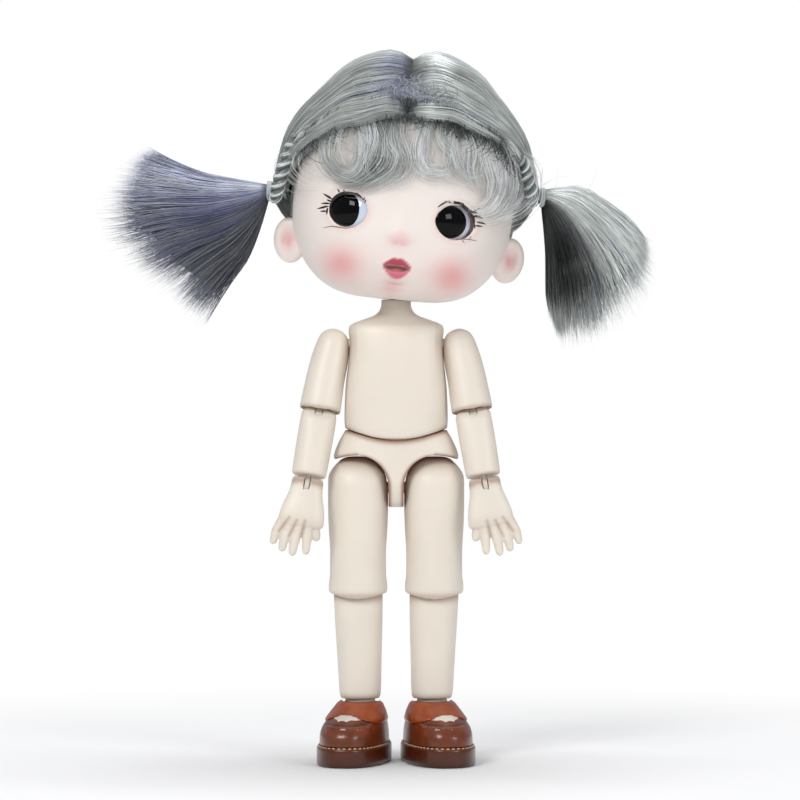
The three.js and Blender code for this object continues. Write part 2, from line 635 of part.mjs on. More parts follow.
function buildArms() {
  const arms = {};
  for (const [side, sign] of [["left", 1], ["right", -1]]) {
    arms[side] = new THREE.Group();
    arms[side].position.set(sign * shoulder.x, 0, shoulder.z);
    arms[side].rotation.set(degrees(-shoulder.forward), degrees(-sign * shoulder.lean), 0);
    doll.add(arms[side]);
  }
  const shoulderConnector = placed(sideways(connector(shoulder)), {
    x: shoulder.x, z: shoulder.z, turnX: -shoulder.forward,
  });
  addPair({ left: doll, right: doll }, "shoulder_connector", shoulderConnector, "connectorPlastic");

  // Upper arm: a dome at the shoulder that flares to the elbow
  const armShares = [
    [0, 0.93, 0.93], [0.04, 1, 1], [0.14, 0.995, 1], [0.4, 0.945, 0.97], [0.7, 0.895, 0.94],
    [1, 0.785, 0.89],
  ];
  const dome = ellipsoid(shoulder.radius, shoulder.depthRadius, shoulder.radius);
  const flare = moulded(armShares, {
    ...upperArm, base: -upperArm.length, height: upperArm.length, front: upperArm.halfDepth,
    back: upperArm.halfDepth,
  });
  const elbowZ = -upperArm.length - elbow.drop;
  const roomTop = elbowZ + elbow.radius + GAP;
  const roomLow = -upperArm.length - GAP;
  const elbowRoom = new THREE.CylinderGeometry(
    elbow.roomNarrow, elbow.roomWide, roomTop - roomLow, BALL_SIDES,
  );
  const upperArmSolid = cut(
    join(solidOf(dome), flare),
    sideways(eyeSlot(
      shoulder, -shoulder.lean - shoulder.raise - SLACK, -shoulder.lean + SLACK,
    )),
    placed(postBore(elbow), { z: elbowZ }),
    solidOf(elbowRoom.rotateX(Math.PI / 2).translate(0, 0, (roomTop + roomLow) / 2)),
  );
  addPair(arms, "upper_arm", upperArmSolid, "bodyPlastic");
  addPair(arms, "elbow_connector", placed(connector(elbow), { z: elbowZ }), "connectorPlastic");

  // Forearm: a barrel at the elbow that bends and turns under the upper arm's cuff
  const barrelShares = [[1, 0], [1, 0.585], [0.8, 0.805], [0.68, 0.94], [0.45, 1], [0, 1]];
  const elbowBarrel = barrel(barrelShares, elbow.radius, elbow.halfWidth);
  const forearmShares = [
    [0, 0.93, 0.9], [0.04, 0.99, 0.97], [0.12, 1, 1], [0.5, 0.985, 1], [0.85, 0.975, 0.97],
    [1, 0.976, 0.94],
  ];
  const forearmEnd = elbowZ - forearm.length;
  const wristZ = forearmEnd - wrist.radius - GAP;
  const sleeve = moulded(forearmShares, {
    ...forearm, base: forearmEnd, height: elbowZ - forearmEnd, front: forearm.halfDepth,
    back: forearm.halfDepth,
  });
  const forearmSolid = cut(
    join(solidOf(elbowBarrel.translate(0, 0, elbowZ)), sleeve),
    placed(eyeSlot(elbow, -elbow.bend - SLACK, SLACK), { z: elbowZ }),
    placed(postBore(wrist), { z: wristZ }),
  );
  addPair(arms, "forearm", forearmSolid, "bodyPlastic");
  addPair(arms, "wrist_connector", placed(connector(wrist), { z: wristZ }), "connectorPlastic");
  buildHands(arms, wristZ);
}

// Hand: palm and fingers as shares of the hand's length from the wrist, thumb towards the body.
function buildHands(arms, wristZ) {
  const palmShares = [[-0.62, 1.45, 0.85], [-0.58, 1.62, 1], [-0.45, 1.58, 1.05],
    [-0.3, 1.38, 1.1], [-0.15, 1.08, 1.1], [0, 0.98, 1.1]];
  const palm = moulded(palmShares, {
    base: 0, height: hand.length, halfWidth: wrist.halfWidth, front: hand.halfThick,
    back: hand.halfThick, squareness: 2.2, sides: 12,
  });
  const fingerShares = [
    [[0.235, -0.5], [0.34, -0.72], [0.36, -0.95]],
    [[0.12, -0.53], [0.2, -0.8], [0.215, -1.03]],
    [[-0.01, -0.53], [0.05, -0.82], [0.055, -1.07]],
    [[-0.13, -0.5], [-0.13, -0.78], [-0.145, -1.02]],
  ];
  const fingers = fingerShares.map((route) => {
    const points = route.map(([x, z], i) => vector(
      x * hand.length, hand.curl * (i / 2) ** 2, z * hand.length,
    ));
    return finger(points, hand.fingerRadius);
  });
  const thumbShares = [[-0.05, -0.3], [-0.2, -0.55], [-0.28, -0.78]];
  const thumb = finger(thumbShares.map(([x, z], i) => vector(
    x * hand.length, (hand.curl * i) / 4, z * hand.length,
  )), hand.thumbRadius);
  const handSolid = cut(
    join(solidOf(knuckle(wrist.radius, wrist.halfWidth, wrist.edge, 12)), palm, ...fingers, thumb),
    eyeSlot(wrist, -wrist.palmBend - SLACK, wrist.backBend + SLACK),
  );
  addPair(arms, "hand", placed(handSolid, { z: wristZ }), "bodyPlastic");
}

// A finger: a round section carried along three joints, with a domed tip.
function finger(points, radius) {
  const curve = new THREE.CatmullRomCurve3(points);
  const rings = [];
  const rows = [[0, 1.15], [0.45, 1.05], [0.82, 0.92], [0.95, 0.65], [1, 0.28]];
  for (const [alongShare, radiusShare] of rows) {
    const centre = curve.getPoint(alongShare);
    const along = curve.getTangent(alongShare);
    const aside = vector(0, 1, 0).cross(along).normalize();
    const depth = along.clone().cross(aside);
    const ring = [];
    for (let j = 0; j < FINGER_SIDES; j += 1) {
      const angle = (2 * Math.PI * j) / FINGER_SIDES;
      ring.push(centre.clone()
        .addScaledVector(aside, radius * radiusShare * Math.cos(angle))
        .addScaledVector(depth, radius * radiusShare * Math.sin(angle)));
    }
    rings.push(ring);
  }
  return solidOf(loft(rings));
}

// The head's outline: shares of its height, half width, front and back
const skullShares = [
  [0, 0.3, 0.32, 0.32], [0.012, 0.5, 0.58, 0.5], [0.04, 0.64, 0.74, 0.66], [0.092, 0.78, 0.87, 0.79],
  [0.175, 0.905, 0.955, 0.89], [0.278, 0.98, 0.99, 0.965], [0.4, 1, 0.985, 1],
  [0.537, 0.99, 0.965, 1], [0.648, 0.935, 0.925, 0.97], [0.76, 0.835, 0.835, 0.885],
  [0.852, 0.705, 0.71, 0.75], [0.926, 0.53, 0.55, 0.57], [0.981, 0.31, 0.32, 0.33],
  [1, 0.1, 0.1, 0.1],
];

function skullForm(inset, sides = HEAD_SIDES) {
  const size = { ...head, base: head.base + inset, height: head.height - 2 * inset, sides };
  return moulded(skullShares, size, inset);
}

function buildNeckAndHead() {
  const upright = new THREE.Group();
  upright.position.z = head.pivotZ;
  doll.add(upright);
  const tilted = new THREE.Group();
  tilted.rotation.y = degrees(head.roll);
  upright.add(tilted);

  // Neck: a post that turns in the torso, and a ball that nods on the post's eye
  add(upright, "neck_post", placed(connector(neckPost), { turnX: 180 }), "connectorPlastic");
  const ballSlot = placed(eyeSlot(neckPost, -neckBall.nod - SLACK, neckBall.nod + SLACK), { turnX: 180 });
  add(upright, "neck_ball", cut(solidOf(ball(neckBall.radius)), ballSlot), "connectorPlastic");

  // Face and back shells
  const eyeBed = (x, grow) => {
    const bed = ellipsoid(eye.halfWidth + grow, eye.depth + grow, eye.halfHeight + grow);
    const inward = eye.depth + eye.recess;
    const turn = degrees(eye.turn);
    bed.rotateZ(turn * Math.sign(x));
    return bed.translate(
      x - Math.sign(x) * Math.sin(turn) * inward, eye.surfaceY + Math.cos(turn) * inward, eye.z,
    );
  };
  const irisAt = (x, grow) => {
    const iris = ellipsoid(eye.irisRadius + grow, eye.irisDepth + grow, eye.irisRadius + grow);
    const inward = eye.recess + eye.irisDepth - eye.irisProud;
    const turn = degrees(eye.turn) * Math.sign(x);
    iris.rotateZ(turn);
    const along = eye.glance * Math.tan(turn);
    return iris.translate(
      x - eye.glance - Math.sin(turn) * inward,
      eye.surfaceY + Math.cos(turn) * inward - along,
      eye.z,
    );
  };
  const bump = (size, y) => ellipsoid(size.halfWidth, 2 * size.halfHeight, size.halfHeight, 10)
    .translate(0, y + 2 * size.halfHeight - size.proud, size.z);
  const faceY = -head.front * 0.985;
  const ears = [1, -1].map((sign) => {
    const shell = ellipsoid(ear.halfWidth, ear.halfDepth, ear.halfHeight, 12);
    const bowl = ellipsoid(ear.halfWidth * 0.55, ear.halfDepth, ear.halfHeight * 0.55, 8);
    return cut(
      solidOf(shell.rotateY(sign * degrees(8)).translate(sign * ear.x, ear.y, ear.z)),
      solidOf(bowl.translate(sign * (ear.x + ear.hollow / 2), ear.y - ear.hollow, ear.z)),
    );
  });
  const upperLip = bump(lips, faceY).translate(0, 0, lips.step / 2);
  const lowerLip = bump({ ...lips, halfWidth: lips.halfWidth * 0.8 }, faceY)
    .translate(0, 0, -lips.step / 2 - lips.halfHeight / 2);
  const outer = join(
    skullForm(0), ...ears, solidOf(bump(nose, faceY)), solidOf(upperLip), solidOf(lowerLip),
    solidOf(bump(chin, faceY)),
  );
  const openings = [eye.x, -eye.x].flatMap((x) => {
    const hole = rod(1, -2 * head.front, eye.surfaceY + 2 * eye.depth, "y", 20);
    hole.scale(eye.openHalfWidth, 1, eye.openHalfHeight).translate(x, 0, eye.z);
    return [solidOf(hole), solidOf(irisAt(x, SEAM)), solidOf(eyeBed(x, SEAM))];
  });
  const flare = new THREE.CylinderGeometry(
    head.holeRadius, head.holeFlare, head.flareHeight + 2 * SEAM, 20,
  );
  const housing = cut(
    outer,
    skullForm(head.wall, 16),
    solidOf(ball(neckBall.radius + GAP)),
    solidOf(rod(head.holeRadius, head.base - OVERRUN, 0, "z", 20)),
    solidOf(flare.rotateX(Math.PI / 2).translate(0, 0, head.base + head.flareHeight / 2)),
    ...openings,
  );
  const [face, back] = halves(housing, head.splitY, dollReach);
  add(tilted, "face_shell", face, "facePlastic");
  add(tilted, "head_back", back, "facePlastic");

  // Eyes: a white set behind the opening and a black domed iris on it
  for (const [side, x] of [["left", eye.x], ["right", -eye.x]]) {
    const white = cut(solidOf(eyeBed(x, 0)), solidOf(irisAt(x, SEAM)));
    add(tilted, `${side}_eye_white`, white, "eyeWhite");
    add(tilted, `${side}_iris`, solidOf(irisAt(x, 0)), "eyeBlack");
  }
  buildHair(tilted);
}

// Outlines over the forehead: shares of the half width and of the top
const hairlineShares = [
  [-0.86, 0.667], [-0.773, 0.762], [-0.63, 0.859], [-0.41, 0.944], [-0.177, 0.992], [0.037, 1],
  [0.257, 0.967], [0.447, 0.915], [0.657, 0.846], [0.777, 0.7],
];
const fringeShares = [
  [-1, 0.72], [-0.95, 0.66], [-0.85, 0.6], [-0.74, 0.58], [-0.62, 0.6], [-0.5, 0.565],
  [-0.36, 0.56], [-0.24, 0.585], [-0.12, 0.555], [0.02, 0.555], [0.14, 0.57], [0.28, 0.535],
  [0.42, 0.53], [0.55, 0.53], [0.68, 0.485], [0.8, 0.485], [0.92, 0.465], [1, 0.5],
  [1.02, 0.64], [0.86, 0.8], [0.58, 0.91], [0.3, 0.965], [0, 0.99], [-0.3, 0.975], [-0.6, 0.93],
  [-0.85, 0.83],
];

// A slab with the given outline in front of the head, running back to the window's depth.
function frontSlab(points) {
  return solidOf(new THREE.ExtrudeGeometry(new THREE.Shape(points), {
    depth: 2 * hair.front, bevelEnabled: false,
  }).rotateX(Math.PI / 2).translate(0, hair.windowBack, 0));
}

function buildHair(group) {
  // The face window: everything in front of the ears and under the hairline
  const windowPoints = [
    [-2, -1], [-2, 0.4], ...hairlineShares, [2, 0.4], [2, -1],
  ].map(([x, z]) => new THREE.Vector2(x * hair.halfWidth, z * hair.hairlineTop));
  const faceWindow = join(
    frontSlab(windowPoints),
    solidOf(block(
      -2 * hair.halfWidth, 2 * hair.halfWidth, -2 * hair.front, ear.y + ear.halfDepth + GAP,
      -hair.height, ear.z + ear.halfHeight + GAP,
    )),
  );
  const nape = solidOf(block(
    -2 * hair.halfWidth, 2 * hair.halfWidth, -2 * hair.front, 2 * hair.front,
    -hair.height, cap.bottom,
  ));
  const capSolid = cut(
    skullForm(-SEAM - cap.thick), skullForm(-SEAM), faceWindow, nape,
  );
  add(group, "wig_cap", capSolid, "capCloth");

  // Crown: two lobes of hair drawn from the parting to the ties
  const crownShares = [
    [0, 0.86, 0.8, 0.8], [0.14, 0.95, 0.9, 0.92], [0.36, 1, 0.95, 1], [0.49, 0.97, 0.97, 1],
    [0.62, 0.91, 0.93, 0.96], [0.76, 0.765, 0.83, 0.87], [0.87, 0.6, 0.69, 0.74],
    [0.94, 0.45, 0.53, 0.58], [0.985, 0.29, 0.35, 0.38], [1, 0.14, 0.16, 0.18],
  ];
  const crown = moulded(crownShares, { ...hair, sides: HEAD_SIDES });
  const part = new THREE.Shape([
    new THREE.Vector2(hair.partX - hair.partHalfWidth, hair.base + hair.height + OVERRUN),
    new THREE.Vector2(hair.partX, hair.base + hair.height - hair.partDepth),
    new THREE.Vector2(hair.partX + hair.partHalfWidth, hair.base + hair.height + OVERRUN),
  ]);
  const partCut = solidOf(new THREE.ExtrudeGeometry(part, {
    depth: 3 * hair.front, bevelEnabled: false,
  }).rotateX(Math.PI / 2).translate(0, 1.5 * hair.front, 0));
  const braids = { left: braidRoute("left"), right: braidRoute("right") };
  const helmet = cut(
    crown, skullForm(-2 * SEAM - cap.thick), faceWindow, nape, partCut,
    braidSolid(braids.left, SEAM), braidSolid(braids.right, SEAM),
  );
  for (const [side, sign] of [["left", 1], ["right", -1]]) {
    const from = hair.partX + (sign * SEAM) / 2;
    const far = hair.partX + sign * 3 * hair.halfWidth;
    const half = block(
      Math.min(from, far), Math.max(from, far), -2 * hair.front, 2 * hair.back,
      0, hair.base + hair.height + OVERRUN,
    );
    add(group, `${side}_hair_crown`, meet(helmet, solidOf(half)), "hairFibre");
    add(group, `${side}_braid`, braidSolid(braids[side], 0), "hairFibre");
  }

  // Fringe: a thin curved band over the forehead with a scalloped lower edge
  const fringeSlab = frontSlab(fringeShares.map(([x, z]) => new THREE.Vector2(
    x * fringe.halfWidth, z * fringe.top,
  )));
  const band = cut(
    meet(skullForm(-fringe.inner - fringe.thick), fringeSlab),
    skullForm(-fringe.inner),
    braidSolid(braids.left, GAP),
    braidSolid(braids.right, GAP),
  );
  add(group, "hair_fringe", band, "hairFibre");

  buildTails(group);
}

const tiePlace = (side) => vector(...tieShares[side]).multiplyScalar(hair.halfWidth);

// The braid's route from the hairline back to the tie, in shares of the hair's half width.
function braidRoute(side) {
  const sign = side === "left" ? 1 : -1;
  const routeShares = [[0.74, -0.53, 1.13], [0.86, -0.33, 0.98]];
  const end = tiePlace(side).add(vector(-sign * braid.inward, -braid.forward, braid.up));
  const start = routeShares.map(([x, y, z]) => vector(sign * x, y, z).multiplyScalar(hair.halfWidth));
  return [...start, end];
}

function braidSolid(route, grow) {
  const section = new THREE.Shape();
  section.absarc(0, 0, braid.radius + grow, 0, 2 * Math.PI);
  return solidOf(new THREE.ExtrudeGeometry(section, {
    steps: 6, curveSegments: 5, bevelEnabled: false, extrudePath: new THREE.CatmullRomCurve3(route),
  }));
}

// Tails: each is skinned between its upper and lower edge, in shares of the tail's length.
function buildTails(group) {
  const tails = {
    right: {
      upperShares: [[0, 0.04], [-0.19, 0.075], [-0.4, 0.115], [-0.577, 0.18], [-0.763, 0.276],
        [-0.878, 0.167], [-0.962, 0.013], [-1.0, -0.12]],
      lowerShares: [[0, -0.05], [-0.06, -0.25], [-0.135, -0.436], [-0.244, -0.59],
        [-0.404, -0.846], [-0.551, -0.705], [-0.756, -0.545], [-0.99, -0.26]],
    },
    left: {
      upperShares: [[0, 0.05], [0.21, 0.08], [0.43, -0.03], [0.59, -0.16], [0.67, -0.27],
        [0.655, -0.56], [0.52, -0.7], [0.36, -0.83]],
      lowerShares: [[-0.01, -0.05], [0.01, -0.24], [0.02, -0.41], [0.02, -0.59],
        [0.04, -0.75], [0.1, -0.85], [0.15, -0.88], [0.25, -0.87]],
    },
  };
  const thickShares = [0.12, 0.35, 0.62, 0.82, 1, 0.95, 0.75, 0.35];
  for (const [side, size] of Object.entries(tails)) {
    const sign = side === "left" ? 1 : -1;
    const place = new THREE.Group();
    place.position.copy(tiePlace(side));
    group.add(place);
    const ring = new THREE.TorusGeometry(tie.ringRadius, tie.radius, 6, 14).rotateY(Math.PI / 2);
    add(place, `${side}_hair_tie`, solidOf(ring), "tieRubber");
    const hanging = new THREE.Group();
    hanging.rotation.y = degrees(-head.roll);
    place.add(hanging);
    const rings = size.upperShares.map(([ux, uz], i) => {
      const top = vector(ux, 0, uz).multiplyScalar(tail.length);
      const low = vector(size.lowerShares[i][0], 0, size.lowerShares[i][1]).multiplyScalar(tail.length);
      return tailRing(top, low, thickShares[i] * tail.halfThick);
    });
    const start = rings[0].map((point) => vector(
      point.x * 0.6 - sign * tie.radius, point.y, point.z * 0.6,
    ));
    const body = cut(solidOf(loft([start, ...rings])), solidOf(new THREE.TorusGeometry(
      tie.ringRadius, tie.radius + SEAM, 8, 16,
    ).rotateY(Math.PI / 2 + degrees(head.roll))));
    add(hanging, `${side}_ponytail`, body, "hairFibre");
  }
}

// An oval of hair between two edge points, as thick as asked in Y.
function tailRing(top, low, thick) {
  const centre = top.clone().add(low).multiplyScalar(0.5);
  const half = top.clone().sub(low).multiplyScalar(0.5);
  const ring = [];
  for (let j = 0; j < ROUND_SIDES; j += 1) {
    const angle = (2 * Math.PI * j) / ROUND_SIDES;
    ring.push(centre.clone().addScaledVector(half, Math.cos(angle))
      .add(vector(0, thick * Math.sin(angle), 0)));
  }
  return ring;
}

buildTorso();
buildPelvis();
buildLegs();
buildArms();
buildNeckAndHead();
doll.position.x = MIDLINE_X;

export default doll;
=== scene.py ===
"""Dresses the packed doll: fine surfaces, paint, hair and shoes, in metres, in the part's frame."""

import math

import bpy
import numpy as np
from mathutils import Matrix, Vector


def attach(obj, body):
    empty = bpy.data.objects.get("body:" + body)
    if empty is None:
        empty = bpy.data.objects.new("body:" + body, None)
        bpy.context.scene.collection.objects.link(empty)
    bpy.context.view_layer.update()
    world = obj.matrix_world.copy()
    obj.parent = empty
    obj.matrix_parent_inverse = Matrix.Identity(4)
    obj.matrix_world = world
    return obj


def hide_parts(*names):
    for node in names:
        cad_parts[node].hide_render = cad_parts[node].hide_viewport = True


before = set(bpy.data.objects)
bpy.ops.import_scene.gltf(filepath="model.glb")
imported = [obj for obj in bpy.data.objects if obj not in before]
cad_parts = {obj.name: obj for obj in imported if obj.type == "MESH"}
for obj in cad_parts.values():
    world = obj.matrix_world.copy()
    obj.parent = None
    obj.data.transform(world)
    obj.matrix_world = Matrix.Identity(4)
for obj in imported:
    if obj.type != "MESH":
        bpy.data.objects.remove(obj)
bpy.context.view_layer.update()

bl_info = {
    "name": "Jointed doll dresser",
    "version": (1, 0, 0),
    "blender": (4, 5, 0),
    "location": "View3D > Sidebar > Doll",
    "description": "Adds the body shells, face, hair, shoes and stage of a jointed doll",
    "category": "Object",
}

MM = 0.001
MIDLINE = 3.6  # the doll's middle plane stands this far to +X of the frame's origin
SIDES = (("left", 1.0), ("right", -1.0))
# Places and angles of the rest pose, for the left side and in mm from the middle plane
SHOULDER_X, SHOULDER_Z = 15.0, 96.5
ARM_OUT, ARM_FORWARD = math.radians(9.3), math.radians(12.0)
ELBOW, WRIST = -18.7, -33.9  # along the arm, from the shoulder
HIP, KNEE, ANKLE = (8.8, 63.4), (8.8, 40.4), (8.3, 0.0)  # X and Z; the foot counts from the floor
TOE_OUT = math.radians(10.0)
HEAD_Z, HEAD_ROLL = 111.8, math.radians(5.5)  # the neck ball's middle and the head's tilt
# The hair ties in the head's own axes, whose origin is the neck ball's middle
TIES = {"left": np.array([31.9, 0.0, 21.7]), "right": np.array([-31.1, 0.0, 17.2])}


def linear(code):
    """Turns an sRGB hex code into linear red, green and blue."""
    values = np.array([int(code[i:i + 2], 16) / 255 for i in (1, 3, 5)])
    return np.where(values <= 0.04045, values / 12.92, ((values + 0.055) / 1.055) ** 2.4)


# Sizes and colours a user would change


def colour(name, description, code):
    return bpy.props.FloatVectorProperty(
        name=name, description=description, subtype="COLOR", size=3, min=0, max=1,
        default=tuple(linear(code)))


class DollLook(bpy.types.PropertyGroup):
    body: colour("Body plastic", "Cream of the moulded limbs", "#e6ddcf")
    face: colour("Face plastic", "Paler cream of the face", "#ebe1da")
    # The joint colour is painted shade: brown laid where the parts shadow each other.
    painted_shade: colour("Joint wash", "Brown shading rubbed into the joint gaps", "#8c5a3a")
    blush: colour("Blush", "Pink on the cheeks, nose and ears", "#e18d8c")
    hair_base: colour("Hair", "Middle tone of the silver hair", "#bcc3bf")
    hair_light: colour("Hair lights", "Pale strands", "#f0f3f1")
    hair_dark: colour("Hair shadows", "Dark strands", "#78817f")
    hair_tint: colour("Hair tint", "Lavender strands", "#8385c0")
    leather: colour("Shoe leather", "Cognac of the uppers", "#6d3318")
    strap: colour("Shoe strap", "Lighter cognac of the straps", "#9a4110")
    sole: colour("Shoe sole", "Reddish brown of the soles", "#4f200b")
    strand: bpy.props.FloatProperty(
        name="Strand width", description="Width of one drawn strand", default=0.00021,
        min=0.0001, unit="LENGTH", subtype="DISTANCE")
    crown_strands: bpy.props.IntProperty(
        name="Crown strands", description="Strands on each half of the crown", default=2700)
    tail_strands: bpy.props.IntProperty(
        name="Tail strands", description="Strands in each side tail", default=2900)
    fringe_strands: bpy.props.IntProperty(
        name="Fringe strands", description="Single strands in the fringe", default=150)


def look():
    return bpy.context.scene.doll_look


def chosen(key):
    """One of the look's colours."""
    return np.array(getattr(look(), key))


# Surfaces


def unit(v):
    return v / np.linalg.norm(v, axis=-1, keepdims=True)


def near(distance, width):
    """A soft bump: 1 at no distance, falling off as exp(-(distance / width)^2)."""
    return np.exp(-(distance / width) ** 2)


def above(value, level, width):
    """A soft step from 0 below a level to 1 above it."""
    return 1 / (1 + np.exp(np.clip((level - value) / width, -40, 40)))


def eased(table, count):
    """Runs each column of a table smoothly through its rows at even steps of path length."""
    table = np.asarray(table, float)
    steps = np.linalg.norm(np.diff(table[:, :3], axis=0), axis=1)
    at = np.concatenate([[0], np.cumsum(np.maximum(steps, 1e-6))])
    return between(at, table, np.linspace(0, at[-1], count))


def between(at, table, where):
    """Cubic through the points of a table, held to its ends: slopes by the harmonic mean of
    the two chords, and flat where the chords differ in sign, so that the curve never overshoots."""
    at, table = np.asarray(at, float), np.asarray(table, float)
    if table.ndim == 1:
        return between(at, table[:, None], where)[..., 0]
    run = np.diff(at)[:, None]
    chord = np.diff(table, axis=0) / run
    product = chord[:-1] * chord[1:]
    total = chord[:-1] + chord[1:]
    mean = np.where(product > 0, 2 * product / np.where(total == 0, 1, total), 0)
    slope = np.concatenate([chord[:1], mean, chord[-1:]])
    where = np.clip(where, at[0], at[-1])
    i = np.clip(np.searchsorted(at, where, "right") - 1, 0, len(at) - 2)
    h = np.diff(at)[i][..., None]
    t = (where - at[i])[..., None] / h
    return ((2 * t**3 - 3 * t**2 + 1) * table[i] + (t**3 - 2 * t**2 + t) * h * slope[i]
            + (3 * t**2 - 2 * t**3) * table[i + 1] + (t**3 - t**2) * h * slope[i + 1])


def power(value, exponent):
    return np.sign(value) * np.abs(value) ** exponent


def ovals(rows, around, down):
    """Rows of z, half width, front, back, squareness and sideways shift (or none) become rings:
    x = shift + w cos(a)^(2/n), y = d sin(a)^(2/n), with d the front or the back depth."""
    rows = eased([(*row, 0.0)[:6] for row in rows], down)
    a = np.linspace(0, 2 * np.pi, around, endpoint=False)
    z, wide, front, back, square, shift = (rows[:, i, None] for i in range(6))
    depth = np.where(np.sin(a) < 0, front, back)
    x = shift + wide * power(np.cos(a), 2 / square)
    y = depth * power(np.sin(a), 2 / square)
    return np.stack([x, y, np.broadcast_to(z, x.shape)], -1)


def closed(rings):
    """Skins a stack of rings; each end closes on the middle of its ring."""
    down, around = rings.shape[:2]
    points = np.concatenate([rings.reshape(-1, 3), rings[[0, -1]].mean(1)])
    i, j = np.meshgrid(np.arange(down - 1), np.arange(around), indexing="ij")
    k = (j + 1) % around
    quads = np.stack([i * around + j, i * around + k, (i + 1) * around + k,
                      (i + 1) * around + j], -1).reshape(-1, 4)
    j, k = np.arange(around), (np.arange(around) + 1) % around
    low = np.stack([np.full(around, down * around), k, j], -1)
    last = (down - 1) * around
    high = np.stack([np.full(around, down * around + 1), last + j, last + k], -1)
    return points, [quads, np.concatenate([low, high])]


def joined(*shapes):
    """Several closed shapes as one list of points and faces."""
    points, faces, start = [], [], 0
    for shape_points, shape_faces in map(outward, shapes):
        points.append(shape_points)
        faces += [f + start for f in shape_faces]
        start += len(shape_points)
    return np.concatenate(points), faces


def volume(points, faces):
    total = 0.0
    for group in faces:
        for i in range(1, group.shape[1] - 1):
            a, b, c = (points[group[:, k]] for k in (0, i, i + 1))
            total += np.einsum("ij,ij->i", a, np.cross(b, c)).sum()
    return total


def outward(shape):
    """The same closed shape with its faces outwards: its signed volume is made positive."""
    points, faces = shape
    if volume(points, faces) < 0:
        faces = [group[:, ::-1] for group in faces]
    return points, faces


def mesh_of(name, shape):
    """Puts points and faces, in millimetres, into a mesh in metres with faces outwards."""
    points, faces = outward(shape)
    mesh = bpy.data.meshes.new(name)
    moved = (points + [MIDLINE, 0, 0]) * MM
    mesh.from_pydata(moved.tolist(), [], [f for group in faces for f in group.tolist()])
    mesh.validate()
    mesh.shade_smooth()
    return mesh


def object_of(name, shape):
    piece = bpy.data.objects.new(name, mesh_of(name, shape))
    bpy.context.scene.collection.objects.link(piece)
    return piece


def carved(name, shape, cutters, voxel, smooth):
    """Cuts shapes away from a closed one and melts the result to one moulded skin: exact cuts
    between two fine voxel skins, then a few rounds of smoothing for soft edges."""
    base = object_of(name, shape)
    remesh(base, voxel)
    cut(base, cutters)
    remesh(base, voxel)
    mod = base.modifiers.new("Soften", "SMOOTH")
    mod.factor, mod.iterations = 0.5, smooth
    bake(base)
    base.data.shade_smooth()
    return base


def cut(piece, shapes):
    """Cuts closed shapes away from a piece."""
    tools = [object_of("cutter", shape) for shape in shapes]
    for tool in tools:
        mod = piece.modifiers.new("Cut", "BOOLEAN")
        mod.operation, mod.object, mod.solver = "DIFFERENCE", tool, "EXACT"
    bake(piece)
    for tool in tools:
        bpy.data.meshes.remove(tool.data)


def remesh(piece, voxel):
    mod = piece.modifiers.new("Skin", "REMESH")
    mod.mode, mod.voxel_size, mod.adaptivity = "VOXEL", voxel * MM, 0
    bake(piece)


def bake(piece):
    """Applies the modifiers to the mesh."""
    graph = bpy.context.evaluated_depsgraph_get()
    graph.update()
    mesh = bpy.data.meshes.new_from_object(piece.evaluated_get(graph))
    old = piece.data
    piece.modifiers.clear()
    piece.data = mesh
    bpy.data.meshes.remove(old)


def of_vertices(piece, key):
    """A vector of every vertex: "co" or "normal"."""
    flat = np.empty(3 * len(piece.data.vertices))
    piece.data.vertices.foreach_get(key, flat)
    return flat.reshape(-1, 3)


def points_of(piece):
    """The vertices in millimetres, measured from the doll's own middle plane."""
    return of_vertices(piece, "co") / MM - [MIDLINE, 0, 0]


def paint(piece, colours):
    """Stores a colour for each vertex."""
    colours = np.broadcast_to(colours, (len(piece.data.vertices), 3))
    layer = piece.data.color_attributes.new("paint", "FLOAT_COLOR", "POINT")
    values = np.concatenate([colours, np.ones((len(colours), 1))], 1)
    layer.data.foreach_set("color", values.ravel())


def finish(piece, body, key, nodes=()):
    """Gives a piece its material, its body, its slot and the CAD nodes that it stands for."""
    piece.data.materials.clear()
    piece.data.materials.append(stuff(key))
    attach(piece, body)
    if nodes:
        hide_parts(*nodes)


def finish_limb(piece, side, part, painted_shade):
    """Finishes a limb's shell: its joint wash, and its own body, which has its node's name."""
    paint_with_shade(piece, painted_shade)
    finish(piece, f"{side}_{part}", "body", [f"{side}_{part}"])


def finish_hair(piece, nodes=()):
    finish(piece, "head", "hair", nodes)


def finish_shoe(piece, side, key, nodes=()):
    finish(piece, f"{side}_foot", key, nodes)


# Places


def turned(points, angle, axis):
    """Turns points by the right-hand rule about one of the frame's axes."""
    c, s = math.cos(angle), math.sin(angle)
    matrix = {"x": [[1, 0, 0], [0, c, -s], [0, s, c]], "y": [[c, 0, s], [0, 1, 0], [-s, 0, c]],
              "z": [[c, -s, 0], [s, c, 0], [0, 0, 1]]}[axis]
    return points @ np.array(matrix).T


def sided(shape, sign):
    """Mirrors a left piece to the right side."""
    points, faces = shape
    return points * [sign, 1, 1], faces


def on_arm(shape, sign, z=0.0):
    points, faces = shape
    moved = turned(turned(points + [0, 0, z], -ARM_OUT, "y"), -ARM_FORWARD, "x")
    return sided((moved + [SHOULDER_X, 0, SHOULDER_Z], faces), sign)


def off_arm(points, sign):
    moved = points * [sign, 1, 1] - [SHOULDER_X, 0, SHOULDER_Z]
    return turned(turned(moved, ARM_FORWARD, "x"), ARM_OUT, "y")


def on_leg(shape, sign, at):
    points, faces = shape
    return sided((points + [at[0], 0, at[1]], faces), sign)


def off_leg(points, sign, at):
    return points * [sign, 1, 1] - [at[0], 0, at[1]]


def on_foot(shape, sign):
    points, faces = shape
    return on_leg((turned(points, TOE_OUT, "z"), faces), sign, ANKLE)


def off_foot(points, sign):
    return turned(off_leg(points, sign, ANKLE), -TOE_OUT, "z")


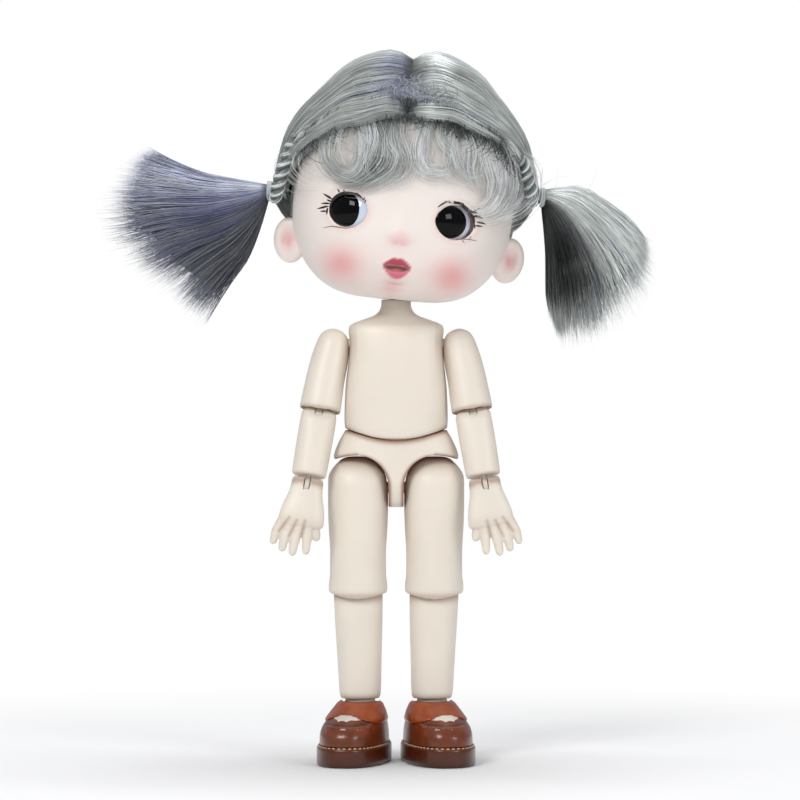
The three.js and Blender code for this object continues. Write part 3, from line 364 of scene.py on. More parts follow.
def on_head(points):
    return turned(points, HEAD_ROLL, "y") + [0, 0, HEAD_Z]


def off_head(points):
    return turned(points - [0, 0, HEAD_Z], -HEAD_ROLL, "y")


# Materials


def wire(tree, made, **inputs):
    """Gives each named input a link or a value; i0, i1 and so on count the inputs."""
    for key, value in inputs.items():
        place = int(key[1:]) if key[1:].isdigit() else key.replace("_", " ")
        if isinstance(value, bpy.types.NodeSocket):
            tree.links.new(value, made.inputs[place])
        else:
            made.inputs[place].default_value = value


def add(tree, kind, settings=None, **inputs):
    """Adds a node with its settings and its inputs."""
    made = tree.nodes.new(kind)
    for key, value in (settings or {}).items():
        setattr(made, key, value)
    wire(tree, made, **inputs)
    return made


def material(name):
    made = bpy.data.materials.new(name)
    made.use_nodes = True
    tree = made.node_tree
    tree.nodes.clear()
    shader = add(tree, "ShaderNodeBsdfPrincipled")
    output = add(tree, "ShaderNodeOutputMaterial", Surface=shader.outputs[0])
    return made, tree, shader, output


def clouds(tree, vector, scale, low, high, detail=2.0):
    """A soft cloud pattern that runs from a low colour to a high one."""
    noise = add(tree, "ShaderNodeTexNoise", Vector=vector, Scale=scale, Detail=detail)
    made = add(tree, "ShaderNodeValToRGB", Fac=noise.outputs[0])
    for stop, place, value in zip(made.color_ramp.elements, (0.3, 0.7), (low, high)):
        stop.position, stop.color = place, (*value, 1)
    return made.outputs[0]


def tinted(tree, low, high, scale, detail=2.0):
    """Varies the painted colour a little with a soft cloud pattern."""
    places = add(tree, "ShaderNodeTexCoord").outputs["Object"]
    shade = clouds(tree, places, scale, (low,) * 3, (high,) * 3, detail)
    painted = add(tree, "ShaderNodeAttribute", {"attribute_name": "paint"})
    mix = add(tree, "ShaderNodeMix", {"data_type": "RGBA", "blend_type": "MULTIPLY"},
              Factor=1, i6=painted.outputs["Color"], i7=shade)
    return mix.outputs[2], places


def grain(tree, shader, vector, scale, strength, distance=0.0001):
    pattern = add(tree, "ShaderNodeTexNoise", Vector=vector, Scale=scale, Detail=3.0)
    bump = add(tree, "ShaderNodeBump", Height=pattern.outputs[0], Strength=strength,
               Distance=distance)
    wire(tree, shader, Normal=bump.outputs[0])


def moulded_vinyl(name, rough):
    """Injection moulded PVC and ABS: a matt skin with a soft broad sheen, a faint orange peel
    and a little light inside."""
    made, tree, shader, _ = material(name)
    tone, places = tinted(tree, 0.955, 1.0, 90.0)
    wire(tree, shader, Base_Color=tone, Roughness=rough, IOR=1.5, Subsurface_Weight=0.12,
         Subsurface_Radius=(0.0018, 0.0009, 0.0006), Subsurface_Scale=1.0)
    grain(tree, shader, places, 2600.0, 0.05)
    return made


def hair_fibre(name):
    """Saran doll hair: straight extruded fibre with a silky highlight."""
    made, tree, shader, _ = material(name)
    tone, _ = tinted(tree, 0.86, 1.08, 240.0)
    wire(tree, shader, Base_Color=tone, Roughness=0.3, IOR=1.54)
    return made


def polished_leather(name):
    """Corrected grain leather with a high polish: darker in the hollows, creased fine grain
    and a clear wax coat."""
    made, tree, shader, _ = material(name)
    tone, places = tinted(tree, 0.74, 1.14, 420.0, 4.0)
    wire(tree, shader, Base_Color=tone, Roughness=0.3, IOR=1.42, Coat_Weight=0.32,
         Coat_Roughness=0.2)
    grain(tree, shader, places, 900.0, 0.06, 0.0002)
    return made


def plain(name, code, rough, coat=0.0, scale=800.0, bump=0.1, specular=0.5):
    """One dyed plastic, rubber, thread or paint: an even colour with a faint cloud and grain."""
    made, tree, shader, _ = material(name)
    places = add(tree, "ShaderNodeTexCoord").outputs["Object"]
    base = linear(code)
    tone = clouds(tree, places, scale / 8, base * 0.88, np.minimum(base * 1.08, 1))
    wire(tree, shader, Base_Color=tone, Roughness=rough, Specular_IOR_Level=specular,
         Coat_Weight=coat, Coat_Roughness=0.03)
    grain(tree, shader, places, scale, bump)
    return made


MAKERS = {
    "body": lambda: moulded_vinyl("moulded_vinyl_body", 0.42),
    "face": lambda: moulded_vinyl("moulded_vinyl_face", 0.46),
    "foot": lambda: plain("moulded_vinyl_foot", "#d9cfc2", 0.42),
    "link": lambda: plain("bare_nylon_links", "#d8cfc2", 0.5),
    "hair": lambda: hair_fibre("saran_hair"),
    "net": lambda: plain("knitted_wig_net", "#7b837f", 0.85, scale=3000.0, bump=0.8),
    "tie": lambda: plain("silicone_hair_tie", "#b4bdbd", 0.5),
    "leather": lambda: polished_leather("polished_leather"),
    "thread": lambda: plain("waxed_thread", "#e0bf98", 0.6, scale=4000.0, bump=0.6),
    "white": lambda: plain("eye_white_resin", "#c6cde0", 0.18, 0.8, 500.0, 0.0),
    "black": lambda: plain("eye_black_resin", "#020203", 0.04, 0.0, 400.0, 0.0, 0.16),
    "paint": lambda: plain("brushed_lash_paint", "#1f1513", 0.6, scale=4000.0, bump=0.0),
    "lower_paint": lambda: plain("lash_brown_paint", "#8b5d42", 0.5, 0.0, 400.0, 0.0),
}
MATERIALS = {}


def stuff(key):
    """Each finish is made once."""
    if key not in MATERIALS:
        MATERIALS[key] = MAKERS[key]()
    return MATERIALS[key]


def paint_with_shade(piece, amount):
    """Paints a shell: the brown wash lies over the plastic where amount is high."""
    amount = np.clip(amount, 0, 1)[:, None]
    paint(piece, chosen("body") * (1 - amount) + chosen("painted_shade") * amount)


# Body

WAIST_Z, WAIST_RADIUS, WAIST_SEAT = 93.6, 20.2, 20.5  # the torso's underside and the pelvis's cup
# Here and below: height of a ring, half width, depth in front, depth behind, squareness and, where
# there is a sixth, a sideways shift, as ovals reads them
TORSO = [
    (79.3, 11.95, 7.1, 7.1, 2.5), (85.5, 11.75, 7.1, 7.1, 2.5), (93.4, 10.95, 6.9, 6.9, 2.5),
    (97.4, 10.75, 6.6, 6.6, 2.5), (99.6, 11.0, 6.15, 6.15, 2.5), (100.7, 10.75, 5.7, 5.7, 2.4),
    (101.4, 9.7, 5.0, 5.0, 2.3), (102.2, 7.6, 4.4, 4.4, 2.2), (103.2, 5.0, 4.05, 4.05, 2.1),
    (104.4, 3.8, 3.7, 3.7, 2.0), (105.6, 3.45, 3.45, 3.45, 2.0), (106.6, 3.4, 3.4, 3.4, 2.0),
    (106.8, 3.2, 3.2, 3.2, 2.0), (106.8, 1.7, 1.7, 1.7, 2.0),
]


def torso_shape():
    """The chest's rings from the waist up; under them the edge follows the sphere
    z = c - sqrt(r^2 - x^2 - y^2) of the waist joint, first outwards and then round a soft rim."""
    side = ovals([(73.4, 11.35, 6.7, 6.7, 2.5), (76.0, 11.65, 6.9, 6.9, 2.5), *TORSO], 128, 150)
    radius, centre = WAIST_RADIUS, WAIST_Z
    level = centre - np.sqrt(radius**2 - (side[..., 0] ** 2 + side[..., 1] ** 2).clip(0, 300))
    floor = level.min(axis=0, keepdims=True)
    edge = np.where(side[..., 2] < level, level, side[..., 2])
    side = np.stack([side[..., 0], side[..., 1], np.maximum(edge, floor)], -1)
    keep = side[6:]
    rim = keep[0]
    reach = np.linspace(0.05, 0.97, 16)[:, None, None]
    under = rim[None] * [1, 1, 0] * reach
    depth = centre - np.sqrt(radius**2 - under[..., 0] ** 2 - under[..., 1] ** 2)
    under = np.stack([under[..., 0], under[..., 1], depth], -1)
    return closed(np.concatenate([under, keep]))


def ball_shape(radius, at=(0, 0, 0), stretch=(1, 1, 1), around=48, down=32):
    """An ellipsoid: x = r cos(b) cos(a), y = r cos(b) sin(a), z = r sin(b)."""
    b = np.linspace(-np.pi / 2, np.pi / 2, down + 2)[1:-1, None]
    a = np.linspace(0, 2 * np.pi, around, endpoint=False)
    rings = np.broadcast_arrays(np.cos(b) * np.cos(a), np.cos(b) * np.sin(a), np.sin(b))
    return closed(np.stack(rings, -1) * radius * np.array(stretch) + at)


def rod_shape(radius, low, high, axis="z", at=(0, 0, 0), around=48):
    """A round bar along an axis."""
    a = np.linspace(0, 2 * np.pi, around, endpoint=False)
    rings = np.stack([np.stack([radius * np.cos(a), radius * np.sin(a), np.full_like(a, z)], -1)
                      for z in (low, low, high, high)])
    order = {"x": [2, 0, 1], "y": [1, 2, 0], "z": [0, 1, 2]}[axis]
    return closed(rings[..., order] + at)


def prism_shape(outline, low, high):
    """An outline in X and Z drawn out along Y."""
    outline = np.asarray(outline, float)
    ring = [np.stack([outline[:, 0], np.full(len(outline), y), outline[:, 1]], -1)
            for y in (low, high)]
    return closed(np.stack(ring))


# The pelvis's leg arches: an oval on the inner side of the hip, a wider circle on the outer
ARCH_HALF, ARCH_HIGH, ARCH_WIDE, ARCH_DROP = 7.05, 7.5, 14.3, -6.8


def arch_outline(x):
    inner = np.linspace(0, np.pi / 2, 40)
    outer = np.linspace(0, np.pi / 3, 40)[1:]
    xs = np.concatenate([[-ARCH_HALF], -ARCH_HALF * np.cos(inner), ARCH_WIDE * np.sin(outer),
                         [ARCH_WIDE]])
    zs = np.concatenate([[-15], ARCH_HIGH * np.sin(inner), ARCH_DROP + ARCH_WIDE * np.cos(outer),
                         [-15]])
    return np.stack([np.sign(x) * xs + x, zs + HIP[1]], -1)


PELVIS = [
    (58.9, 12.0, 2.2, 2.2, 2.6), (59.1, 12.2, 3.0, 3.0, 2.6), (59.9, 12.4, 4.1, 4.1, 2.6),
    (61.8, 12.6, 5.4, 5.4, 2.6), (63.6, 12.8, 6.3, 6.3, 2.6), (65.4, 13.0, 6.8, 6.8, 2.6),
    (69.1, 13.2, 7.15, 7.15, 2.6), (69.8, 14.1, 7.25, 7.25, 2.6), (70.5, 14.45, 7.3, 7.3, 2.6),
    (71.3, 14.3, 7.3, 7.3, 2.6), (72.6, 13.85, 7.3, 7.3, 2.6), (75.1, 12.65, 7.2, 7.2, 2.6),
    (76.6, 11.75, 7.1, 7.1, 2.6), (77.2, 11.4, 7.0, 7.0, 2.6),
]


def make_trunk():
    """Torso and pelvis: two glued half shells each, with the seam along the sides."""
    torso = object_of("torso", torso_shape())
    x, y, z = points_of(torso).T
    # Painted shade: a brown line in the waist gap, the neck's top darkened as under the chin's
    # shadow, and a ring round each shoulder socket.
    painted_shade = 0.85 * near(z - 73.3 - 0.024 * x**2, 1.2)
    painted_shade += 0.38 * above(z, 105.2, 1.3)
    painted_shade += 0.45 * near(np.hypot(y, z - SHOULDER_Z), 4.2) * (np.abs(x) > 9)
    paint_with_shade(torso, painted_shade)
    seam_groove(torso)
    finish(torso, "torso", "body", ["torso_front", "torso_back"])

    cutters = [
        ball_shape(WAIST_SEAT, (0, 0, WAIST_Z), around=120, down=80),
        prism_shape(arch_outline(HIP[0]), -12, 12),
        prism_shape(arch_outline(-HIP[0]), -12, 12),
        rod_shape(1.6, -3, 3, "x", (0, 0, HIP[1])),
    ]
    pelvis = carved("pelvis", closed(ovals(PELVIS, 128, 130)), cutters, 0.2, 6)
    x, y, z = points_of(pelvis).T
    top = WAIST_Z - np.sqrt((WAIST_SEAT**2 - x**2 - y**2).clip(1))
    aside, height = np.abs(x) - HIP[0], z - HIP[1]
    arch = np.where(aside < 0, np.hypot(aside, height.clip(0)) - 7.2,
                    np.hypot(aside, height - ARCH_DROP) - ARCH_WIDE)
    # Painted shade along the rim of the waist cup and on the leg arches' cut faces, which stand in
    # the thighs' shadow.
    paint_with_shade(pelvis, 0.95 * near(z - top, 0.9) + 0.9 * near(arch, 0.55))
    seam_groove(pelvis)
    finish(pelvis, "pelvis", "body", ["pelvis_front", "pelvis_back"])


def seam_groove(piece):
    """A groove 0.1 mm deep where the front and back shells meet, at y = 0."""
    points, normals = of_vertices(piece, "co"), of_vertices(piece, "normal")
    at_sides = np.abs(normals[:, 0]) > 0.4
    depth = 0.1 * MM * near(points[:, 1] / MM, 0.12) * at_sides
    points = points - normals * depth[:, None]
    piece.data.vertices.foreach_set("co", points.ravel())


# Rings of the arm's parts, from the shoulder's and the elbow's axis down
UPPER_ARM = [
    (3.65, 0.05, 0.05, 0.05, 2.1, -0.5), (3.55, 1.05, 1.05, 1.05, 2.1, -0.5),
    (3.0, 2.2, 2.15, 2.15, 2.1, -0.5), (2.0, 3.2, 3.2, 3.2, 2.1, -0.5),
    (0.0, 3.85, 3.85, 3.85, 2.1, -0.45), (-4.6, 4.35, 4.1, 4.1, 2.1, -0.2),
    (-9.3, 4.5, 4.22, 4.22, 2.1, 0.0),
    (-13.7, 4.7, 4.34, 4.34, 2.1), (-15.3, 4.74, 4.36, 4.36, 2.1), (-15.7, 4.7, 4.3, 4.3, 2.1),
    (-15.9, 4.52, 4.1, 4.1, 2.1), (-15.8, 4.4, 3.95, 3.95, 2.1), (-15.3, 4.36, 3.85, 3.85, 2.1),
    (-14.75, 4.0, 3.8, 3.8, 2.1), (-14.65, 1.0, 1.0, 1.0, 2.1),
]
FOREARM = [
    (3.5, 2.0, 0.2, 0.2, 3), (3.42, 2.5, 0.75, 0.75, 3), (3.0, 3.05, 1.8, 1.8, 3.2),
    (2.7, 3.4, 2.2, 2.2, 3.2), (2.3, 3.8, 2.62, 2.62, 3.1), (1.5, 4.06, 3.15, 3.15, 3),
    (0.0, 4.1, 3.74, 3.5, 2.8), (-3.0, 4.14, 3.74, 3.55, 2.4),
    (-8.0, 4.08, 3.6, 3.6, 2.2), (-11.8, 3.98, 3.48, 3.48, 2.2), (-12.4, 3.88, 3.38, 3.38, 2.2),
    (-12.7, 3.6, 3.1, 3.1, 2.2), (-12.7, 2.6, 2.2, 2.2, 2.2), (-12.5, 1.0, 1.0, 1.0, 2),
]


def bend_room(radius, width, reach, low, high, lying=False):
    """The room of a joint's eye: a disc across the limb and the fan that its post sweeps.
    Lying, the eye's axis is along Y and the post comes from the body's side."""
    fan = np.radians(np.linspace(low, high, 24))
    outline = [(0, 0), *zip(reach * np.sin(fan), reach * np.cos(fan))]
    swept, faces = prism_shape(outline, -0.485 * width, 0.485 * width)
    shapes = [rod_shape(radius, -width / 2, width / 2, "x"), (swept[:, [1, 0, 2]], faces)]
    if lying:
        shapes = [(turned(turned(points, math.pi / 2, "z"), -math.pi / 2, "y"), faces)
                  for points, faces in shapes]
    return shapes


def make_arms():
    """Upper arm with a domed top and a flared cuff, forearm with a round elbow knuckle."""
    for side, sign in SIDES:
        rings = ovals(UPPER_ARM, 96, 150)
        rings[..., 2] -= 0.35 * np.exp(-(rings[..., 0] / 3) ** 2) * (rings[..., 2] < -14.4)
        room = [on_arm(shape, sign) for shape in bend_room(2.2, 2.6, 8, -83, -5, lying=True)]
        arm = carved(f"{side}_arm_shell", on_arm(closed(rings), sign), room, 0.2, 5)
        x, _, z = off_arm(points_of(arm), sign).T
        # Painted shade along the cuff's rim and on the inner side that faces the torso.
        painted_shade = 0.5 * near(z + 16.0, 0.7) + 0.55 * near(x + 4.4, 1.2) * above(z, -10, 2.5)
        finish_limb(arm, side, "upper_arm", painted_shade)

        shape = on_arm(closed(ovals(FOREARM, 96, 120)), sign, ELBOW)
        room = [on_arm(part, sign, ELBOW) for part in bend_room(3.4, 1.75, 8, -69, 4)]
        lower = carved(f"{side}_forearm_shell", shape, room, 0.2, 5)
        z = off_arm(points_of(lower), sign)[:, 2]
        # Painted shade where the forearm goes into the cuff and at its wrist end.
        painted_shade = 0.6 * near(z + 15.4, 1.0) + 0.4 * near(z - ELBOW + 12.8, 0.5)
        finish_limb(lower, side, "forearm", painted_shade)


def rings_round(path, radii, aside, around):
    """Rings of the given radii square to a path: p + r (cos(a) aside + sin(a) deep)."""
    deep = np.cross(unit(np.gradient(path, axis=0)), aside)
    a = np.linspace(0, 2 * np.pi, around, endpoint=False)[:, None]
    return path[:, None] + radii[:, None, None] * (
        np.cos(a) * aside[:, None] + np.sin(a) * deep[:, None])


def tube_shape(path, radii, around=20, up=(0, 1, 0)):
    """A tube along a path that nowhere runs along up."""
    aside = unit(np.cross(unit(np.gradient(path, axis=0)), up))
    return closed(rings_round(path, radii, aside, around))


HAND = 15.1  # the hand's length, which the rows and routes below are shares of
PALM_HALF, PALM_DEEP = 3.3, 1.9
# Height and half width, then the depths in front and behind, as shares of the three above
PALM = [
    (0.142, 0.85, 0.1, 0.1), (0.138, 0.98, 0.4, 0.4), (0.115, 1.06, 0.72, 0.72),
    (0.07, 1.1, 0.98, 0.98), (0.0, 1.12, 1.1, 1.1),
    (-0.1, 1.18, 1.07, 1.07), (-0.22, 1.33, 1.05, 1.02), (-0.34, 1.48, 1.05, 0.95),
    (-0.47, 1.58, 1.0, 0.85), (-0.56, 1.6, 0.9, 0.75), (-0.61, 1.45, 0.7, 0.6),
    (-0.64, 1.0, 0.4, 0.35),
]
# Each finger's route in X and Z, and its radius in mm; the thumb comes last
FINGERS = [
    ([(0.235, -0.46), (0.31, -0.62), (0.355, -0.78), (0.375, -0.94)], 1.06),
    ([(0.12, -0.5), (0.175, -0.68), (0.21, -0.86), (0.22, -1.03)], 1.12),
    ([(0.0, -0.5), (0.03, -0.7), (0.05, -0.88), (0.055, -1.07)], 1.14),
    ([(-0.125, -0.48), (-0.13, -0.66), (-0.135, -0.83), (-0.15, -1.02)], 1.12),
    ([(-0.02, -0.2), (-0.13, -0.42), (-0.22, -0.6), (-0.285, -0.79)], 1.22),
]
# How thick a finger is along its length, and the creases between the fingers in X and Z
FINGER_SWELL = ([0, 0.3, 0.55, 0.8, 0.93, 0.98, 1.0], [1.08, 1.02, 1.05, 0.9, 0.74, 0.5, 0.2])
FINGER_GAPS = [((0.18, -0.52), (0.26, -0.66)), ((0.06, -0.55), (0.11, -0.7)),
               ((-0.065, -0.54), (-0.05, -0.7))]


def make_hands():
    """Palm and five fingers melted to one skin, with creases at the finger joints."""
    for side, sign in SIDES:
        rings = ovals([(z * HAND, w * PALM_HALF, f * PALM_DEEP, b * PALM_DEEP, 2.3)
                       for z, w, f, b in PALM], 72, 70)
        parts = [on_arm(closed(rings), sign, WRIST)]
        t = np.linspace(0, 1, 26)
        for route, radius in FINGERS:
            route = np.array([(x * HAND, 1.5 * (i / 3) ** 2, z * HAND)
                              for i, (x, z) in enumerate(route)])
            path = between(np.linspace(0, 1, 4), route, t)
            knots = 1 - 0.07 * near(t - 0.42, 0.05) - 0.06 * near(t - 0.72, 0.04)
            swell = between(*FINGER_SWELL, t)
            parts.append(on_arm(tube_shape(path, radius * swell * knots), sign, WRIST))
        room = [on_arm(part, sign, WRIST) for part in bend_room(2.15, 1.4, 6, -64, 34)]
        hand = carved(f"{side}_hand_skin", joined(*parts), room, 0.15, 6)
        p = off_arm(points_of(hand), sign)
        x, z = p[:, 0] / HAND, (p[:, 2] - WRIST) / HAND
        # Painted shade where the hand goes into the forearm, a faint band at the fingers' roots and
        # lines in the gaps between the fingers.
        painted_shade = 0.55 * near(z - 0.06, 0.06) + 0.12 * near(z + 0.6, 0.12)
        gaps = 0.0
        for (x0, z0), (x1, z1) in FINGER_GAPS:
            t = np.clip(((x - x0) * (x1 - x0) + (z - z0) * (z1 - z0))
                        / ((x1 - x0) ** 2 + (z1 - z0) ** 2), 0, 1.6)
            gaps = gaps + near(np.hypot(x - x0 - t * (x1 - x0), z - z0 - t * (z1 - z0)), 0.024)
        finish_limb(hand, side, "hand", painted_shade + 0.35 * gaps)


# Rings of the leg's parts, from the hip's and the knee's axis down
THIGH = [
    (7.2, 0.3, 0.2, 0.2, 2.1, 0.3), (7.12, 1.85, 1.25, 1.25, 2.1, 0.3),
    (6.7, 3.25, 2.65, 2.65, 2.1, 0.3), (6.05, 4.2, 3.8, 3.8, 2.15, 0.2),
    (5.1, 5.2, 4.9, 4.9, 2.2, 0.15), (3.9, 6.1, 5.8, 5.8, 2.2, 0.15),
    (2.2, 6.83, 6.6, 6.6, 2.2, 0.07), (0.0, 6.95, 6.95, 6.95, 2.2), (-4.0, 6.95, 6.92, 6.92, 2.2),
    (-8.0, 6.85, 6.8, 6.8, 2.1), (-16.0, 6.46, 6.5, 6.5, 2.1), (-20.0, 6.48, 6.46, 6.46, 2.1),
    (-22.6, 6.76, 6.6, 6.6, 2.1), (-23.7, 6.78, 6.58, 6.58, 2.1), (-24.1, 6.62, 6.4, 6.4, 2.1),
    (-24.2, 6.34, 6.12, 6.12, 2.1), (-24.0, 6.12, 5.7, 5.7, 2.3), (-23.5, 6.03, 5.45, 5.45, 2.5),
    (-22.0, 6.0, 5.35, 5.35, 3), (-19.5, 6.0, 5.0, 5.0, 2.6), (-18.0, 5.9, 2.6, 2.6, 2.6),
    (-17.7, 3.0, 0.6, 0.6, 2.6),
]
SHIN = [
    (4.85, 2.6, 0.3, 0.3, 3), (4.75, 3.3, 1.1, 1.1, 3), (4.3, 4.1, 2.45, 2.45, 2.9),
    (3.0, 5.15, 3.85, 3.85, 2.8), (1.2, 5.6, 4.7, 4.7, 2.8), (-1.5, 5.65, 4.92, 4.98, 2.8),
    (-5.0, 5.58, 4.9, 5.3, 2.4), (-10.5, 5.38, 4.85, 5.5, 2.2), (-17.0, 5.1, 4.75, 5.05, 2.2),
    (-22.5, 4.9, 4.6, 4.65, 2.2), (-24.9, 4.72, 4.48, 4.48, 2.2), (-25.55, 4.5, 4.25, 4.25, 2.2),
    (-25.8, 4.2, 3.95, 3.95, 2.2), (-25.6, 3.9, 3.75, 3.75, 2.2), (-24.4, 3.85, 3.7, 3.7, 2.2),
    (-23.9, 2.2, 2.2, 2.2, 2),
]


def make_legs():
    """Thighs with a rounded top and an open backed knee cuff that dips in front, shins with a
    knee drum, knee pins and the ankles' tops over the shoes."""
    for side, sign in SIDES:
        rings = ovals(THIGH, 112, 190)
        drop = 1.4 * (1 - (rings[..., 0] / 6.95) ** 2).clip(0)
        rings[..., 2] -= drop * np.clip((-20.0 - rings[..., 2]) / 4.2, 0, 1) ** 2
        open_back = prism_shape([(-9, -32), (9, -32), (9, -16.4), (-9, -16.4)], 0.9, 12)
        room = [on_leg(shape, sign, HIP)
                for shape in (*bend_room(2.9, 3.3, 9, -26, 4, lying=True), open_back)]
        thigh = carved(f"{side}_thigh_shell", on_leg(closed(rings), sign, HIP), room, 0.22, 5)
        x, _, z = off_leg(points_of(thigh), sign, HIP).T
        # Painted shade on the dome's top under the pelvis's arch, down the inner side, and along
        # the knee cuff's rim.
        painted_shade = 0.55 * near(z - 6.8, 2.0) * above(-x, -4, 1.0)
        painted_shade += 0.4 * near(x + 7.1, 1.3) * above(z, -13, 2.0)
        painted_shade += 0.4 * near(z + 24.9, 0.8)
        finish_limb(thigh, side, "thigh", painted_shade)

        rings = ovals(SHIN, 104, 150)
        rings[..., 0] -= 0.5 * np.clip(-rings[..., 2] / 25, 0, 1)
        bore = on_leg(rod_shape(1.2, -9, 9, "x"), sign, KNEE)
        shin = carved(f"{side}_shin_shell", on_leg(closed(rings), sign, KNEE), [bore], 0.22, 5)
        z = off_leg(points_of(shin), sign, KNEE)[:, 2]
        # Painted shade under the knee cuff and along the shin's lower edge.
        finish_limb(shin, side, "shin", 0.65 * near(z + 1.8, 1.3) + 0.4 * near(z + 25.6, 1.0))

        pin = object_of(f"{side}_knee_rod", on_leg(rod_shape(1.15, -6.2, 6.2, "x"), sign, KNEE))
        finish(pin, f"{side}_thigh", "link", [f"{side}_knee_pin"])

        rows = [(10.5, 3.5, 3.5), (13.0, 3.5, 3.45), (14.4, 3.45, 3.3), (14.9, 3.1, 2.9),
                (15.1, 2.2, 2.0)]
        rings = ovals([(z, w, d, d, 2.1) for z, w, d in rows], 64, 40)
        ankle = object_of(f"{side}_ankle_top", on_leg(closed(rings), sign, ANKLE))
        # The ankle top is painted a quarter of the way to the shade colour, as it stands in the
        # shade between shin and strap.
        paint_with_shade(ankle, np.full(len(ankle.data.vertices), 0.25))
        finish_shoe(ankle, side, "body")


def dress(name, key):
    """Gives a CAD solid that is shown as it is its material."""
    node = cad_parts[name]
    node.data.materials.clear()
    node.data.materials.append(stuff(key))


def dress_links():
    """The posts and eyes of the joints and the feet in the shoes keep their CAD solids."""
    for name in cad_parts:
        if name.endswith(("connector", "neck_post", "neck_ball")):
            dress(name, "link")
        if name.endswith("_foot"):
            dress(name, "foot")


# Head and face

# Height, half width and the depths in front and behind, in the head's own axes
SKULL = np.array([
    (-5.0, 5.5, 6.0, 6.0), (-4.9, 8.8, 9.5, 9.0), (-4.3, 12.6, 13.8, 12.2),
    (-2.8, 16.3, 17.6, 16.0), (0.0, 19.8, 20.5, 19.0), (4.5, 23.0, 22.5, 21.5),
    (10.0, 25.0, 23.2, 23.3), (17.0, 25.5, 23.0, 24.0), (24.0, 25.2, 22.6, 24.0),
    (30.0, 23.8, 21.8, 23.2), (36.0, 21.3, 19.6, 21.2), (41.0, 18.0, 16.8, 18.0),
    (45.0, 13.6, 13.0, 13.6), (48.0, 7.6, 7.4, 7.8), (49.0, 0.5, 0.5, 0.5),
])
SKULL_SQUARE = 2.25
EYE_X, EYE_Z, EYE_W, EYE_H = 12.2, 14.6, 4.35, 3.95  # middle and half sizes of a socket
FACE_DROP, FACE_TILT = 0.95, 0.022


def on_face(x, z):
    """Height on the face, measured along features that sit a little lower and more tilted
    than the skull."""
    return z + FACE_DROP + FACE_TILT * x


# Soft bumps of the face: height, middle and half width sideways, middle and half height
FACE_BUMPS = {
    "nose tip": (1.15, 0, 2.1, 9.5, 1.35), "nose bridge": (0.45, 0, 1.7, 11.9, 3.0),
    "nostrils": (0.22, 1.75, 0.9, 8.9, 0.9), "muzzle": (0.75, 0, 4.8, 2.6, 4.0),
    "fold under the lip": (-0.35, 0, 2.4, -0.75, 0.55), "chin": (0.5, 0, 3.6, -2.7, 1.7),
    "cheeks": (0.55, 12.5, 5.2, 5.0, 4.0),
}
# Clouds of blush in the same way, with their strength first
FACE_BLUSH = {
    "cheeks": (0.72, 12.6, 4.6, 2.3, 4.0), "middle": (0.12, 0, 6, 3, 5),
    "nose": (0.42, 0, 2.3, 9.4, 1.4), "nostrils": (0.3, 0.95, 0.8, 8.3, 0.3),
}


def spots(table, side, z):
    """The sum of h exp(-((x - a) / w)^2 - ((z - b) / t)^2) over a table."""
    return sum(h * near(side - a, w) * near(z - b, t) for h, a, w, b, t in table.values())


def eye_ring(side, z):
    """1 on the rim of an eye, less inside."""
    return np.sqrt(((side - EYE_X) / EYE_W) ** 2 + ((z - EYE_Z) / EYE_H) ** 2)


def relief(x, z):
    """How far the face stands proud of the plain head: the soft bumps and the two lips, whose
    middle lines are bows, less the eye hollows and the mouth line."""
    side, z = np.abs(x), on_face(x, z)
    bump = spots(FACE_BUMPS, side, z)
    bow = 4.15 + 0.45 * near(side - 1.15, 0.9) - 0.75 * np.clip(side / 3.2, 0, 1.2) ** 2
    bump += 0.55 * near(z - bow, 0.62) * near(x, 3.0)
    low = 1.05 + 0.95 * np.clip(side / 2.9, 0, 1.2) ** 2
    bump += 0.6 * near(z - low, 0.72) * near(x, 2.5)
    parted = 2.75 - 0.15 * side
    bump -= 0.75 * near(z - parted, 0.5) * near(x / 2.6, 0.8)
    hollow = ((side - EYE_X) / 6.4) ** 2 + ((z - EYE_Z) / 5.6) ** 2
    bump -= 0.55 * np.exp(-hollow**2)
    lid = 0.7 + 0.5 * np.clip((z - EYE_Z) / 4, 0, 1)
    return bump + 0.42 * near(eye_ring(side, z) - 1.17, 0.13) * lid


def face_y(x, z, wider=0.0, limit=0.995):
    """The face's front at x and z: y = -front (1 - (|x| / width)^n)^(1/n) - relief."""
    wide, front, _ = np.moveaxis(between(SKULL[:, 0], SKULL[:, 1:], z), -1, 0)
    share = np.clip(np.abs(x) / (wide + wider), 0, limit)
    return -front * (1 - share**SKULL_SQUARE) ** (1 / SKULL_SQUARE) - relief(x, z)


def forehead_y(x, z):
    """The same, on a wider head: hair runs on past the temples."""
    return face_y(x, z, 2.5, 0.98)


def frontal(y):
    """0 behind the ears, 1 on the face."""
    return np.clip((-y - 6) / 6, 0, 1)


UPPER_LIP, LOWER_LIP, MOUTH, TONGUE = map(linear, ("#b03e50", "#d2687c", "#5f1c20", "#c06a6c"))


